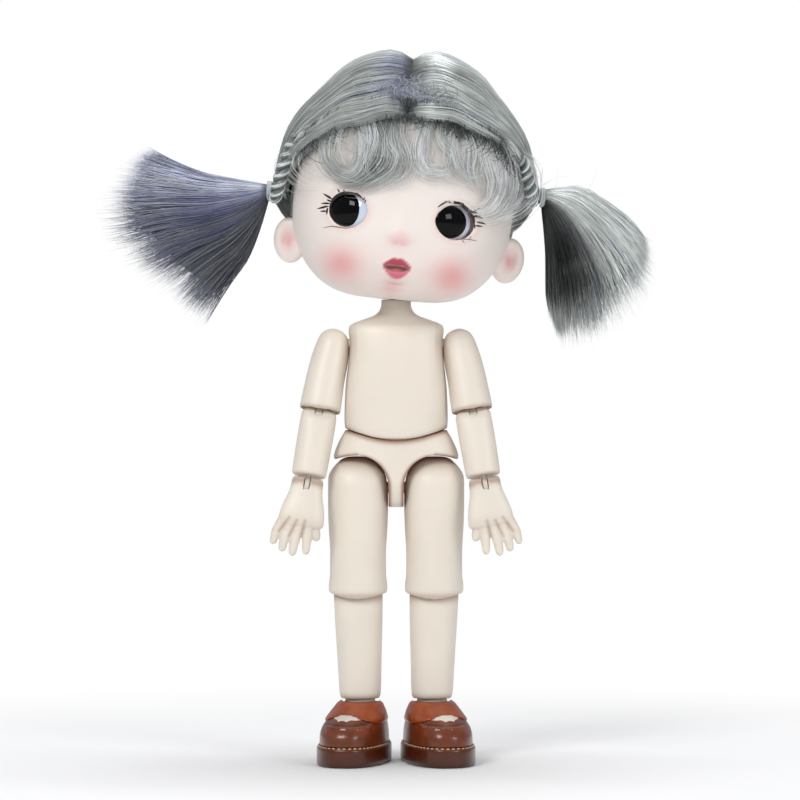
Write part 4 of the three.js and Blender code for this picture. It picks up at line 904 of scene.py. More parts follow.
def face_colours(p):
    """Paint over the cream face: blush by soft round clouds, lips between their outlines, warm
    rims round the eyes and a fold under the mouth."""
    x, y, z = p.T
    side, z, front = np.abs(x), on_face(x, z), frontal(y)
    # The off-centre pink cloud under the lower lip is painted shade on the chin.
    cheek = spots(FACE_BLUSH, side, z) + 0.42 * near(x + 0.8, 2.2) * near(z + 1.6, 1.7)
    cheek += 0.16 * near(eye_ring(side, z) - 1.1, 0.2)
    mix = np.clip(cheek, 0, 1)[:, None] * front[:, None]
    tone = chosen("face") * (1 - mix) + chosen("blush") * mix

    def arc(middle, bend, half):
        return middle + bend * np.clip(side / half, 0, 1.3) ** 2

    def stripe(low, high, half):
        return above(z, low, 0.07) * above(-z, -high, 0.07) * front * (side < half)

    top = arc(4.85, -1.55, 3.25) + 0.3 * near(side - 1.1, 0.8)
    middle, under, bottom = arc(3.35, -0.42, 3.0), arc(1.85, 0.9, 2.9), arc(0.35, 2.1, 3.0)
    gap = stripe(under, middle, 2.95)
    for mask, paint_colour in (
            (stripe(middle, top, 3.3), UPPER_LIP), (stripe(bottom, under, 2.9), LOWER_LIP),
            (gap, MOUTH), (gap * near(x, 1.3) * near(z - 2.2, 0.55), TONGUE)):
        tone = tone * (1 - mask[:, None]) + paint_colour * mask[:, None]
    # Painted shade: the fold under the lower lip is darkened with the blush colour.
    fold = (0.5 * near(z + 0.75, 0.3) * near(x, 1.6) * front)[:, None]
    return tone * (1 - fold) + chosen("blush") * 0.75 * fold


def make_head():
    """Face and back shell as one smooth head, sockets cut for the eyes and the neck's seat."""
    rings = ovals([(*row, SKULL_SQUARE) for row in SKULL], 300, 230)
    x, y, z = np.moveaxis(rings, -1, 0)
    points, faces = closed(np.stack([x, y - relief(x, z) * frontal(y), z], -1))
    head = object_of("head", (on_head(points), faces))
    a = np.linspace(0, 2 * np.pi, 72, endpoint=False)
    outlines = [
        np.stack([x + EYE_W * np.cos(a), EYE_Z - on_face(x, 0) + EYE_H * np.sin(a)], -1)
        for x in (EYE_X, -EYE_X)]
    sockets = [prism_shape(outline, -32, -14.5) for outline in outlines]
    for points, faces in (*sockets, ball_shape(4.95), rod_shape(4.7, -12, 0)):
        cut(head, [(on_head(points), faces)])
    paint(head, face_colours(off_head(points_of(head))))
    finish(head, "head", "face", ["face_shell", "head_back"])
    for side, sign in SIDES:
        make_ear(side, sign)


def make_ear(side, sign):
    """A flat oval with a rolled rim and a hollow: the front of an ellipsoid pushed back by
    soft bumps in its own x and z."""
    b = np.linspace(-np.pi / 2, np.pi / 2, 62)[1:-1, None]
    a = np.linspace(0, 2 * np.pi, 72, endpoint=False)
    x = 3.9 * np.cos(b) * np.cos(a)
    z = 5.3 * np.sin(b) + 0 * a
    y = 2.0 * np.cos(b) * np.sin(a)
    bowl = 1.5 * near(x - 0.3, 1.7) * near(z - 0.6, 2.7)
    bowl = bowl - 0.45 * near(x + 0.2, 0.7) * near(z + 0.5, 1.2)
    y = np.where(y < 0, y + bowl * (-y / 2.0), y)
    rings = turned(np.stack([x, y, z], -1), math.radians(8), "y")
    rings = turned(rings, math.radians(14), "z") + [25.2, -0.6, 6.4]
    points, faces = closed(rings)
    piece = object_of(f"{side}_ear", (on_head(points * [sign, 1, 1]), faces))
    p = off_head(points_of(piece)) * [sign, 1, 1]
    mix = (0.03 + 0.6 * near(p[:, 0] - 25.6, 1.5) * near(p[:, 2] - 6.2, 2.2))[:, None]
    paint(piece, chosen("face") * (1 - mix) + chosen("blush") * mix)
    finish(piece, "head", "face")


def make_eyes():
    """White sets turned outwards behind the sockets, each with a black dome that glances aside."""
    for side, sign in SIDES:
        turn = math.radians(28) * sign
        inward = np.array([-math.sin(turn), math.cos(turn), 0.0])
        along = np.array([math.cos(turn), math.sin(turn), 0.0])
        surface = np.array([EYE_X * sign, -20.9, EYE_Z - on_face(EYE_X * sign, 0)])
        glance = 0.55 if side == "left" else 1.0
        for name, stretch, around, depth, aside, node, slot, key in (
                ("eye_set", (5.6, 3.2, 4.8), 64, 3.55, 0.0, "eye_white", "eye_white", "white"),
                ("eye_dome", (4.3, 1.8, 3.75), 72, 1.65, glance, "iris", "eye_black", "black")):
            points, faces = ball_shape(1, stretch=stretch, around=around, down=48)
            points = (turned(points, turn, "z") + surface + inward * depth
                      - along * aside / math.cos(turn))
            piece = object_of(f"{side}_{name}", (on_head(points), faces))
            finish(piece, "head", key, [f"{side}_{node}"])


PIXEL, AXIS, GROUND = 0.2301, 396, 765  # the photograph's mm per pixel, middle column and floor row
CAMERA_X, CAMERA_Z, CAMERA_FAR = 0.9, 95, 900  # where the camera stands, in mm
NEARER = 0.9767  # the face stands 21 mm nearer to the camera than the doll's middle


def from_photo(px, py):
    """Head coordinates of a point on the face that the photograph shows at a pixel."""
    x = CAMERA_X + ((px - AXIS) * PIXEL - CAMERA_X) * NEARER
    z = CAMERA_Z + ((GROUND - py) * PIXEL - CAMERA_Z) * NEARER
    p = off_head(np.array([[x, -21.0, z]]))[0]
    return p[0], p[2]


# Strokes as the photograph's pixels show them, and how broad each is; those that lie wholly below
# the pixel row LOWER_LID are on the lower lid
LASHES = [
    ([(332, 200), (327, 196.5), (322, 193.5)], 0.9), ([(331, 202), (326, 200)], 0.8),
    ([(330, 204), (325, 203.6), (320, 203.5)], 0.8),
    ([(328, 206.5), (322, 207.6), (316, 209)], 0.9),
    ([(326, 211.5), (319, 211.5)], 0.7), ([(327, 208), (326.4, 211.5), (326, 215)], 0.8),
    ([(339, 193), (338, 191), (337, 189)], 0.6), ([(344, 192.5), (343, 190)], 0.5),
    ([(363.5, 201), (364.5, 198)], 0.5), ([(364.5, 203.5), (366, 200.5)], 0.5),
    ([(329, 207), (333, 199), (345, 193.3), (356, 194.5), (364, 201)], 1.2),
    ([(322.5, 228.5), (332, 227), (345, 229), (356, 227.5)], 0.6),
    ([(438, 208), (448, 202.5), (460, 204), (468, 210), (473, 212.5), (480, 208.5)], 1.2),
    ([(471, 213.5), (475.5, 213.2), (479.5, 214)], 0.8),
    ([(473, 216.5), (478.5, 217), (484, 219)], 0.9),
    ([(477, 222.5), (482, 223.2), (487.5, 225)], 0.8), ([(475, 226), (484, 227)], 0.7),
    ([(475, 225), (475.5, 229.5)], 0.6), ([(470, 212), (474.5, 219), (475, 226)], 0.9),
    ([(456, 240.5), (468, 240), (478, 241.5)], 0.6), ([(472, 237), (469, 239.5)], 0.5),
    ([(462, 241), (465, 243.5)], 0.5),
]
LOWER_LID = 226


def make_lashes():
    """Brushed lash and lid lines: flat strokes that lie 0.05 mm proud of the face, thickest in
    the middle."""
    upper, lower = [], []
    for route, weight in LASHES:
        flat = np.array([from_photo(*point) for point in route])
        t = np.linspace(0, 1, 14)
        line = between(np.linspace(0, 1, len(flat)), flat, t)
        low = min(row for _, row in route) > LOWER_LID
        taper = np.clip(np.sin(np.pi * (0.12 + 0.84 * t)), 0.12, 1)
        width = (0.3 if low else 0.42) * weight * taper
        aside = unit(np.gradient(line, axis=0))[:, ::-1] * [-1, 1]
        rings = []
        for across, lift in ((-1, -0.12), (-0.5, 0.05), (0.5, 0.05), (1, -0.12)):
            x, z = (line + aside * (across * width)[:, None]).T
            rings.append(np.stack([x, face_y(x, z) - lift, z], -1))
        points, faces = closed(np.stack(rings, 1))
        (lower if low else upper).append((on_head(points), faces))
    for name, key, shapes in (("lash_lines", "paint", upper),
                              ("lower_lash_lines", "lower_paint", lower)):
        finish(object_of(name, joined(*shapes)), "head", key)


# Hair

# The combed hair's outer form, in the columns of SKULL
HAIR = np.array([
    (3.0, 25.6, 21.6, 21.6), (10.0, 28.0, 23.6, 24.4), (18.0, 29.6, 25.4, 27.2),
    (24.0, 29.5, 26.0, 27.4), (30.0, 28.6, 26.0, 27.0), (35.0, 26.6, 24.8, 26.0),
    (40.0, 23.0, 22.4, 23.4), (44.0, 19.4, 19.4, 20.4), (48.0, 14.9, 14.6, 15.6),
    (50.6, 10.0, 10.0, 10.6), (52.2, 5.2, 5.4, 5.6), (52.6, 0.6, 0.6, 0.6),
])
HAIR_SQUARE = 2.15
HAIR_MIDDLE = np.array([0.0, 1.0, 22.0])
HAIR_BRACKET, HALVINGS = (12.0, 45.0), 22  # these find the form's surface within 0.01 um


def hair_scale(directions):
    """How far a ray from the head's middle runs to the hair's outer form: halving a bracket of
    the form's own measure (|x| / w)^n + (|y| / d)^n = 1."""
    low, high = (np.full(directions.shape[:-1], reach) for reach in HAIR_BRACKET)
    for _ in range(HALVINGS):
        middle = (low + high) / 2
        p = HAIR_MIDDLE + directions * middle[..., None]
        size = between(HAIR[:, 0], HAIR[:, 1:], p[..., 2])
        depth = np.where(p[..., 1] < 0, size[..., 1], size[..., 2])
        measure = ((np.abs(p[..., 0]) / size[..., 0]) ** HAIR_SQUARE
                   + (np.abs(p[..., 1]) / depth) ** HAIR_SQUARE)
        inside = (measure < 1) & (p[..., 2] < HAIR[-1, 0])
        low, high = np.where(inside, middle, low), np.where(inside, high, middle)
    return (low + high) / 2


def combed(sign, start, t):
    """Hair combed from the parting to a tie: each strand's direction from the head's middle
    turns evenly from its start to the tie, and its reach is the hair's outer form."""
    side = "left" if sign > 0 else "right"
    tie = TIES[side] - [sign * 1.2, 0, 0] - HAIR_MIDDLE
    begin = parting(start) - HAIR_MIDDLE
    a, b = unit(begin)[:, None], unit(tie)[None, None]
    angle = np.arccos(np.clip((a * b).sum(-1, keepdims=True), -1, 1))
    t = t[None, :, None]
    directions = (np.sin((1 - t) * angle) * a + np.sin(t * angle) * b) / np.sin(angle)
    return unit(directions)


def parting(share):
    """The parting's line over the head: from the hairline in front over the top to the nape."""
    angle = np.radians(-58 + 180 * share)
    return HAIR_MIDDLE + 30 * np.stack(
        [np.full_like(angle, -0.03), np.sin(angle), np.cos(angle)], -1)


def strand_colours(rng, count, tint=0.08, dull=0.0, spread=0.22):
    """A colour for each strand: the middle tone moved towards light, shadow or lavender."""
    base, light, dark, lavender = (
        chosen(f"hair_{key}") for key in ("base", "light", "dark", "tint"))
    pick = rng.random((count, 1))
    tone = base + (light - base) * np.clip(rng.normal(0.3 - dull, spread, (count, 1)), -0.15, 1)
    tone = np.where(pick < 0.09 + 0.5 * dull, dark + (base - dark) * rng.random((count, 1)), tone)
    tone = np.where(pick > 1 - tint, lavender + (light - lavender) * 0.45 * rng.random((count, 1)),
                    tone)
    return np.clip(tone * rng.uniform(0.88, 1.1, (count, 1)), 0, 1)


FIBRE_FLAT = 0.6  # a fibre's depth as a share of its width


def strands(name, paths, normals, width, tones, tips=0.25):
    """Three sided fibres: around each path's point stands a small triangle whose corners are
    w cos(a) across and w f sin(a) along the surface's normal, narrowing at both ends."""
    count, steps = paths.shape[:2]
    along = unit(np.gradient(paths, axis=1) + 1e-9)
    across = unit(np.cross(along, normals) + 1e-9)
    deep = np.cross(across, along)
    t = np.linspace(0, 1, steps)
    shape = np.minimum(1, np.minimum((t + 0.02) / 0.1, (1.01 - t) / tips))
    radius = (np.asarray(width)[:, None] * shape[None])[..., None, None]
    angles = np.array([-0.5, 0.8333, 2.1667]) * np.pi
    corners = np.stack([np.cos(angles + np.pi), np.sin(angles + np.pi)], -1)
    rings = paths[:, :, None] + radius * (
        corners[None, None, :, :1] * across[:, :, None]
        + FIBRE_FLAT * corners[None, None, :, 1:] * deep[:, :, None])
    points = rings.reshape(-1, 3)
    i = np.arange(steps - 1)[:, None]
    j = np.arange(3)[None]
    quads = np.stack([i * 3 + j, i * 3 + (j + 1) % 3, i * 3 + 3 + (j + 1) % 3, i * 3 + 3 + j], -1)
    quads = quads.reshape(-1, 4)
    caps = np.array([[2, 1, 0], [steps * 3 - 3, steps * 3 - 2, steps * 3 - 1]])
    starts = (np.arange(count) * steps * 3)[:, None, None]
    faces = [(quads[None] + starts).reshape(-1, 4), (caps[None] + starts).reshape(-1, 3)]
    piece = object_of(name, (points, faces))
    if tones.ndim == 2:
        tones = tones[:, None].repeat(steps, axis=1)
    paint(piece, np.clip(tones[:, :, None].repeat(3, axis=2).reshape(-1, 3), 0, 1))
    return piece


def head_strands(name, paths, normals, width, tones, nodes=()):
    """Strands that are given in the head's own axes, finished and fixed to the head."""
    piece = strands(name, on_head(paths.reshape(-1, 3)).reshape(paths.shape),
                    turned(normals.reshape(-1, 3), HEAD_ROLL, "y").reshape(normals.shape),
                    width, tones)
    finish_hair(piece, nodes)


def hair_widths(rng, count, share=1.0):
    return rng.uniform(0.6, 1.3, count) * look().strand / MM / 2 * share


def wander(rng, count, steps, waves):
    """Smooth random drift along each strand: a sum of sines of growing frequency."""
    t = np.linspace(0, 1, steps)[None]
    total = np.zeros((count, steps))
    for k in range(1, waves + 1):
        phase = rng.uniform(0, 2 * np.pi, (count, 1))
        total += rng.normal(0, 1 / k, (count, 1)) * np.sin(np.pi * k * t + phase)
    return total


def crown_rise(t):
    """The two lobes: a swelling beside the parting and a furrow along it."""
    return 0.75 * np.sin(np.pi * np.clip(t * 2.2, 0, 1)) - 1.9 * near(t, 0.05)


def crown_shade(side, starts, t):
    """Light and shade of the lobes: bright crests beside the parting, a shaded furrow under
    the front roll and darker roots."""
    starts, t = starts[:, None], t[None]
    shade = 0.82 + 0.2 * near(t - 0.32, 0.22) - 0.25 * near(t, 0.06)
    shade = shade - 0.3 * near(starts - 0.14 - 0.1 * t, 0.035) * near(t - 0.3, 0.35)
    shade = shade * (1 if side == "left" else 0.82)
    crest = 0.8 if side == "left" else 0.12
    wavy = t - 0.1 - 0.05 * np.sin(14 * starts)
    shade = shade + crest * near(wavy, 0.06) * near(starts - 0.2, 0.25)
    shade = shade + 0.16 * near(starts - 0.4, 0.09) * near(t - 0.2, 0.25)
    return shade[..., None]


CROWN_LOCKS = 70  # on each half of the crown


def make_crown():
    """Two lobes of combed hair: a closed under layer, strands lying on it in soft locks, and
    strands wrapped round its front and back edges."""
    rng = np.random.default_rng(4)
    for side, sign in SIDES:
        t = np.linspace(0, 1, 72)
        starts = np.linspace(0.02, 0.98, 90)
        directions = combed(sign, starts, t)
        reach = hair_scale(directions)
        edge = np.clip(np.minimum(starts - 0.02, 0.98 - starts) / 0.06, 0, 1)[:, None] ** 0.5
        outer, inner = (HAIR_MIDDLE + directions * far[..., None] for far in (
            reach - 1.5 + 0.7 * edge + crown_rise(t), reach - 2.2 - 0.8 * edge))
        loop = np.concatenate([outer, inner[:, ::-1]], 1)
        points, faces = closed(loop)
        under = object_of(f"{side}_crown_under", (on_head(points), faces))
        # The under layer is painted dark: painted shade that shows between the strands.
        tones = chosen("hair_dark") * 0.7 + chosen("hair_base") * 0.3
        streak = (0.82 + 0.25 * np.sin(57 * starts) * np.sin(23 * starts + 1))[:, None, None]
        grid = np.broadcast_to(tones * streak, (*loop.shape[:2], 3)).reshape(-1, 3)
        paint(under, np.clip(np.concatenate([grid, [tones, tones]]), 0, 1))
        finish_hair(under, [f"{side}_hair_crown"])

        count, steps, edges = look().crown_strands, 20, 260
        t = np.linspace(0.0, 1, steps)
        locks = rng.random(CROWN_LOCKS)
        locks.sort()
        starts = locks[rng.integers(0, CROWN_LOCKS, count)] + rng.normal(0, 0.011, count)
        starts = np.clip(starts, 0, 1)
        lift = rng.uniform(-0.4, 0.32, (count, 1)) + 0.07 * wander(rng, count, steps, 4)
        starts[:edges] = 0.03 * rng.random(edges) ** 2
        starts[-edges:] = 1 - 0.03 * rng.random(edges) ** 2
        lift[:edges] = rng.uniform(-2.9, 0.4, (edges, 1))
        lift[-edges:] = rng.uniform(-2.9, 0.4, (edges, 1))
        directions = combed(sign, starts, t)
        wave = np.sin(2 * np.pi * (3.2 * t[None] + 3 * starts[:, None])) * near(t - 0.2, 0.18)[None]
        drift = (0.3 * wander(rng, count, steps, 4) + 0.7 * wave) * np.sin(np.pi * t) ** 0.5
        reach = hair_scale(directions)
        lift = lift + 0.3 * np.sin(40 * starts)[:, None]
        paths = HAIR_MIDDLE + directions * (reach + crown_rise(t) + lift - 0.25)[..., None]
        along = unit(np.gradient(paths, axis=1))
        paths = paths + np.cross(along, directions) * drift[..., None]
        paths = gather_at_tie(rng, paths, side, sign, t)
        tones = strand_colours(rng, count, 0.02, -0.02, 0.13)[:, None]
        tones = tones * crown_shade(side, starts, t)
        violet = chosen("hair_tint")
        patch = near(starts - 0.13, 0.1)[:, None] * near(t - 0.08, 0.07) * (side == "right")
        patch = 0.8 * patch * (rng.random((count, 1)) < 0.5)
        tones = tones + (violet - tones) * patch[..., None]
        head_strands(f"{side}_crown_strands", paths, directions,
                     hair_widths(rng, count, 0.78), tones)


def gather_at_tie(rng, paths, side, sign, t):
    """Pulls the last part of each strand into the ring of the hair tie."""
    count = len(paths)
    angle, radius = rng.uniform(0, 2 * np.pi, count), 1.5 * np.sqrt(rng.random(count))
    goal = TIES[side] + np.stack(
        [np.full(count, -0.2 * sign), radius * np.cos(angle), radius * np.sin(angle)], -1)
    pull = (np.clip((t - 0.72) / 0.28, 0, 1) ** 2)[None, :, None]
    return paths * (1 - pull) + goal[:, None] * pull


# Lines over the forehead in X and Z: the fringe's lower edge and the hairline
FRINGE_LOW = [(-24.0, 29.0), (-21.5, 26.6), (-18.5, 22.6), (-14.0, 20.8), (-7.9, 20.2), (0.8, 20.0),
              (9.4, 18.8), (15.0, 17.6), (20.0, 16.6), (23.4, 16.0), (25.5, 19.0)]
HAIRLINE = [(-25.8, 25.0), (-23.2, 28.7), (-18.9, 32.4), (-12.3, 35.6), (-5.3, 37.4), (1.1, 37.6),
            (7.7, 36.4), (13.4, 34.5), (19.7, 31.8), (24.3, 26.3)]


def height_on(line, x):
    """The height at x of a line drawn on x and z."""
    return between(*np.array(line).T, x)


def curled(rng, root, low, heading, bend, steps, spread=1.0):
    """Strands that fall and end in a loop: each walks on along a heading that starts near
    straight down and turns by bend s^1.5 after its first third. Its length makes its lowest
    point reach low."""
    count = len(root)
    s = np.clip((np.linspace(0, 1, steps) - 0.3) / 0.7, 0, 1)[None]
    turn = bend[:, None] * (1 + rng.normal(0, 0.07 * spread, (count, 1))) * s**1.5
    way = heading[:, None] + rng.normal(0, 0.09 * spread, (count, 1)) + turn
    way = way + 0.12 * wander(rng, count, steps, 3)
    walk = np.cumsum(np.stack([np.cos(way), np.sin(way)], -1), axis=1)
    walk = walk - walk[:, :1]
    drop = -walk[..., 1].min(1)
    size = (root[:, 1] - low) / np.maximum(drop, 0.42 * steps)
    size = size * (1 + rng.normal(0, 0.06 * spread, count))
    return root[:, None] + walk * size[:, None, None]


def front_of_hair(x, z):
    """The front of the combed hair at x and z, from the hair's outer form."""
    wide, front, _ = np.moveaxis(between(HAIR[:, 0], HAIR[:, 1:], z), -1, 0)
    share = np.clip(np.abs(x) / wide, 0, 0.98)
    return -front * (1 - share**HAIR_SQUARE) ** (1 / HAIR_SQUARE)


def laid_on_forehead(rng, flat, layer, rise):
    """Gives strands drawn on x and z their depth: on the combed hair above the hairline, in
    front of the forehead below it."""
    steps = flat.shape[1]
    t = np.linspace(0, 1, steps)[None]
    x, z = flat[..., 0], flat[..., 1]
    depth = 0.5 + layer[:, None] * rise * np.sin(np.pi * (0.12 + 0.72 * t))
    depth = np.clip(depth + 0.15 * wander(rng, len(flat), steps, 3), 0.35, 4.0)
    high = above(z, height_on(HAIRLINE, x) + 1.6, 0.7)
    on_hair, on_skin = front_of_hair(x, z) - 1.0 - 0.9 * layer[:, None], forehead_y(x, z)
    y = (on_skin - depth) * (1 - high) + np.minimum(on_hair, on_skin) * high
    return np.stack([x, y, z], -1)


# Locks of the fringe as the photograph's pixels show them, root first, then how many strands
# follow the line, how far they spread in mm, and how much lighter than the rest they are
FRINGE_LOCKS = [
    ([(356, 112), (361, 124), (364, 140), (363, 156), (357, 170), (347, 176), (337, 172),
      (330, 164), (326, 153)], 99, 0.75, 0.35),
    ([(338, 121), (330, 132), (325, 143), (325, 155), (331, 167), (343, 177), (356, 182),
      (371, 184)], 46, 0.8, 0.1),
    ([(345, 120), (338, 135), (336, 150), (340, 163), (349, 171)], 22, 0.7, 0.3),
    ([(373, 112), (379, 128), (384, 145), (383, 160), (375, 172), (361, 181), (347, 185),
      (332, 181)], 99, 0.8, -0.25),
    ([(366, 110), (370, 122), (373, 136), (371, 150), (364, 164), (368, 178), (380, 178)],
      59, 0.8, 0.45),
    ([(391, 112), (388, 130), (390, 146), (396, 157), (392, 170), (379, 180), (361, 189),
      (345, 190)], 59, 0.9, 0.1),
    ([(402, 113), (400, 130), (404, 148), (408, 162), (403, 176), (388, 184), (368, 190)],
      40, 0.8, 0.15),
    ([(429, 116), (424, 132), (420, 148), (421, 162), (430, 172), (443, 173), (452, 166),
      (455, 154)], 73, 0.8, 0.3),
    ([(456, 120), (453, 142), (455, 157), (461, 169), (471, 177), (482, 175), (488, 165)],
      66, 0.75, 0.25),
    ([(444, 118), (440, 132), (444, 146), (452, 156), (448, 172), (456, 184)], 33, 0.9, 0.0),
    ([(466, 124), (472, 141), (475, 154), (473, 168), (477, 182), (484, 192)], 73, 1.0, 0.2),
    ([(478, 127), (487, 146), (494, 166), (498, 184), (494, 200), (482, 210), (468, 211)],
      86, 1.1, 0.3),
    ([(488, 131), (498, 148), (505, 168), (506, 188), (500, 204), (488, 214), (474, 216)],
      73, 1.1, 0.25),
    ([(497, 136), (509, 152), (516, 172), (516, 190), (509, 206), (496, 217), (480, 221)],
      59, 1.1, 0.2),
]
# Larger loose loops at both temples, drawn in the same way
TEMPLE_LOCKS = [
    ([(520, 148), (531, 162), (535, 178), (533, 194), (523, 207), (507, 216), (491, 221),
      (478, 222)], 30, 1.0, 0.5),
    ([(514, 156), (523, 170), (526, 186), (520, 201), (508, 212), (492, 219)], 26, 1.3, 0.3),
    ([(522, 151), (536, 156), (544, 168), (543, 178), (536, 184)], 3, 0.5, 0.7),
    ([(544, 184), (554, 176), (566, 173), (580, 175)], 2, 0.3, 0.6),
    ([(303, 139), (291, 150), (288, 164), (294, 176), (306, 184), (320, 187)], 15, 1.1, 0.5),
    ([(316, 126), (298, 138), (289, 152), (287, 168)], 20, 0.7, 0.3),
]


PALER_FROM = 376  # locks that start to the right of this pixel column are paler


def drawn(rng, locks, steps):
    """Strands that follow drawn centre lines: each keeps its own distance to the line, drifts
    a little and ends short of it or beyond."""
    flats, tones = [], []
    t = np.linspace(0, 1, steps)
    for points, count, spread, light in locks:
        line = np.array([from_photo(*point) for point in points])
        far = np.concatenate([[0], np.cumsum(np.linalg.norm(np.diff(line, axis=0), axis=1))])
        begin, share = 0.06 * rng.random((count, 1)), rng.uniform(0.7, 1.0, (count, 1))
        reach = (begin + t * share) * far[-1]
        path, ahead, behind = (between(far, line, reach + step) for step in (0, 0.3, -0.3))
        along = unit(ahead - behind + 1e-9)
        offset = spread * rng.normal(0, 1, (count, 1)) * (0.8 + 0.5 * np.sin(np.pi * t))[None]
        offset = offset + 0.22 * wander(rng, count, steps, 4)
        flats.append(path + offset[..., None] * along[..., ::-1] * [-1, 1])
        # Painted light along each strand: a highlight a third of the way down, a weaker one near
        # the end, and darker roots.
        shade = 0.72 + 0.75 * near(t - 0.36, 0.15) + 0.35 * near(t - 0.78, 0.13)
        shade = shade - 0.4 * near(t, 0.09)
        level = (0.82 + 0.6 * light) * (1 + 0.45 * above(points[0][0], PALER_FROM, 12))
        shade = shade[:, None] * level * rng.uniform(0.6, 1.25, (count, 1, 1))
        tones.append(strand_colours(rng, count, 0.03, -light)[:, None] * shade)
    return np.concatenate(flats), np.concatenate(tones)


ROOT_HAIRS, PARTING_HAIRS = 1500, 520  # along the hairline, and at the parting's foot


def make_fringe():
    """Fine curls over the forehead, open enough for the skin to show: drawn locks that fall
    over the hairline, single hairs between them, short dark roots along the hairline, small
    violet curls at the foot of the parting and loose loops at the temples."""
    rng = np.random.default_rng(11)
    forwards = [0.0, -1.0, 0.12]
    down = -1.57

    def laid(name, flat, layer, rise, share, tones, nodes=()):
        paths = laid_on_forehead(rng, flat, layer, rise)
        head_strands(name, paths, np.broadcast_to(forwards, paths.shape),
                     hair_widths(rng, len(flat), share), tones, nodes)

    flat, tones = drawn(rng, FRINGE_LOCKS, 34)
    laid("fringe_locks", flat, rng.random(len(flat)), 2.4, 0.5, tones, ["hair_fringe"])
    flat, tones = drawn(rng, TEMPLE_LOCKS, 34)
    laid("temple_curls", flat, rng.random(len(flat)), 3.2, 0.5, tones)

    count = look().fringe_strands
    root = rng.uniform(-19, 25, count)
    low = height_on(FRINGE_LOW, root) + rng.uniform(0.0, 9.0, count)
    bend = np.where(rng.random(count) < 0.5, -1, 1) * rng.uniform(1.2, 5.0, count)
    top = height_on(HAIRLINE, root) + rng.uniform(0, 3.5, count)
    flat = curled(rng, np.stack([root, top], -1), low, rng.normal(down, 0.2, count), bend, 30, 1.4)
    layer = rng.random(count)
    laid("fringe_loose", flat, layer, 2.4, 0.36, strand_colours(rng, count, 0.02, -0.25))

    count = ROOT_HAIRS
    root = rng.uniform(-25.5, 24.3, count)
    top = height_on(HAIRLINE, root) + rng.uniform(0.3, 3.4, count)
    flat = curled(rng, np.stack([root, top], -1), top - rng.uniform(1.8, 4.6, count),
                  rng.normal(down, 0.35, count), rng.normal(0, 1.0, count), 8, 2.0)
    # The roots are dark strands and also painted shade under the edge of the combed hair.
    tones = chosen("hair_dark") * rng.uniform(0.12, 0.95, (count, 1)) ** 1.5
    laid("hairline_down", flat, rng.random(count), 3.0, 0.55, tones)

    count = PARTING_HAIRS
    x = rng.normal(1.2, 5.2, count)
    z = height_on(HAIRLINE, x) + 2.0 + np.abs(rng.normal(0, 2.4, count))
    bend = rng.choice([-1, 1], count) * rng.uniform(1.5, 5.0, count)
    flat = curled(rng, np.stack([x, z], -1), z - rng.uniform(1.5, 3.6, count),
                  rng.normal(down, 0.9, count), bend, 16, 2.5)
    violet = chosen("hair_tint")
    share = (0.75 * rng.random((count, 1)) * (x < 2.5)[:, None])
    tones = strand_colours(rng, count, 0.05, 0.1)
    tones = (tones + (violet - tones) * share) * rng.uniform(0.55, 1.15, (count, 1))
    laid("parting_curls", flat, rng.random(count), 1.2, 0.6, tones)


# The left braid's route; the last column is read by braid_route
BRAID = np.array([
    (25.6, -13.0, 30.0, 0.0), (26.9, -11.0, 26.9, 0.15), (27.7, -10.0, 23.8, 0.35),
    (28.6, -8.6, 20.3, 0.6), (29.1, -7.0, 17.4, 0.8), (29.4, -4.6, 15.6, 1.0),
    (30.6, -1.2, 16.4, 1.0),
])
BRAID_TURNS = 4.0
TIE_LOW = TIES["right"][2]  # the braids end at this height before they are lifted


def braid_route(side, sign):
    """Down the hairline in front of the tie and back into it; the last column lifts the end
    to the height of the side's own tie."""
    lift = BRAID[:, 3] * (TIES[side][2] - TIE_LOW)
    return np.stack([sign * BRAID[:, 0], BRAID[:, 1], BRAID[:, 2] + lift], -1)


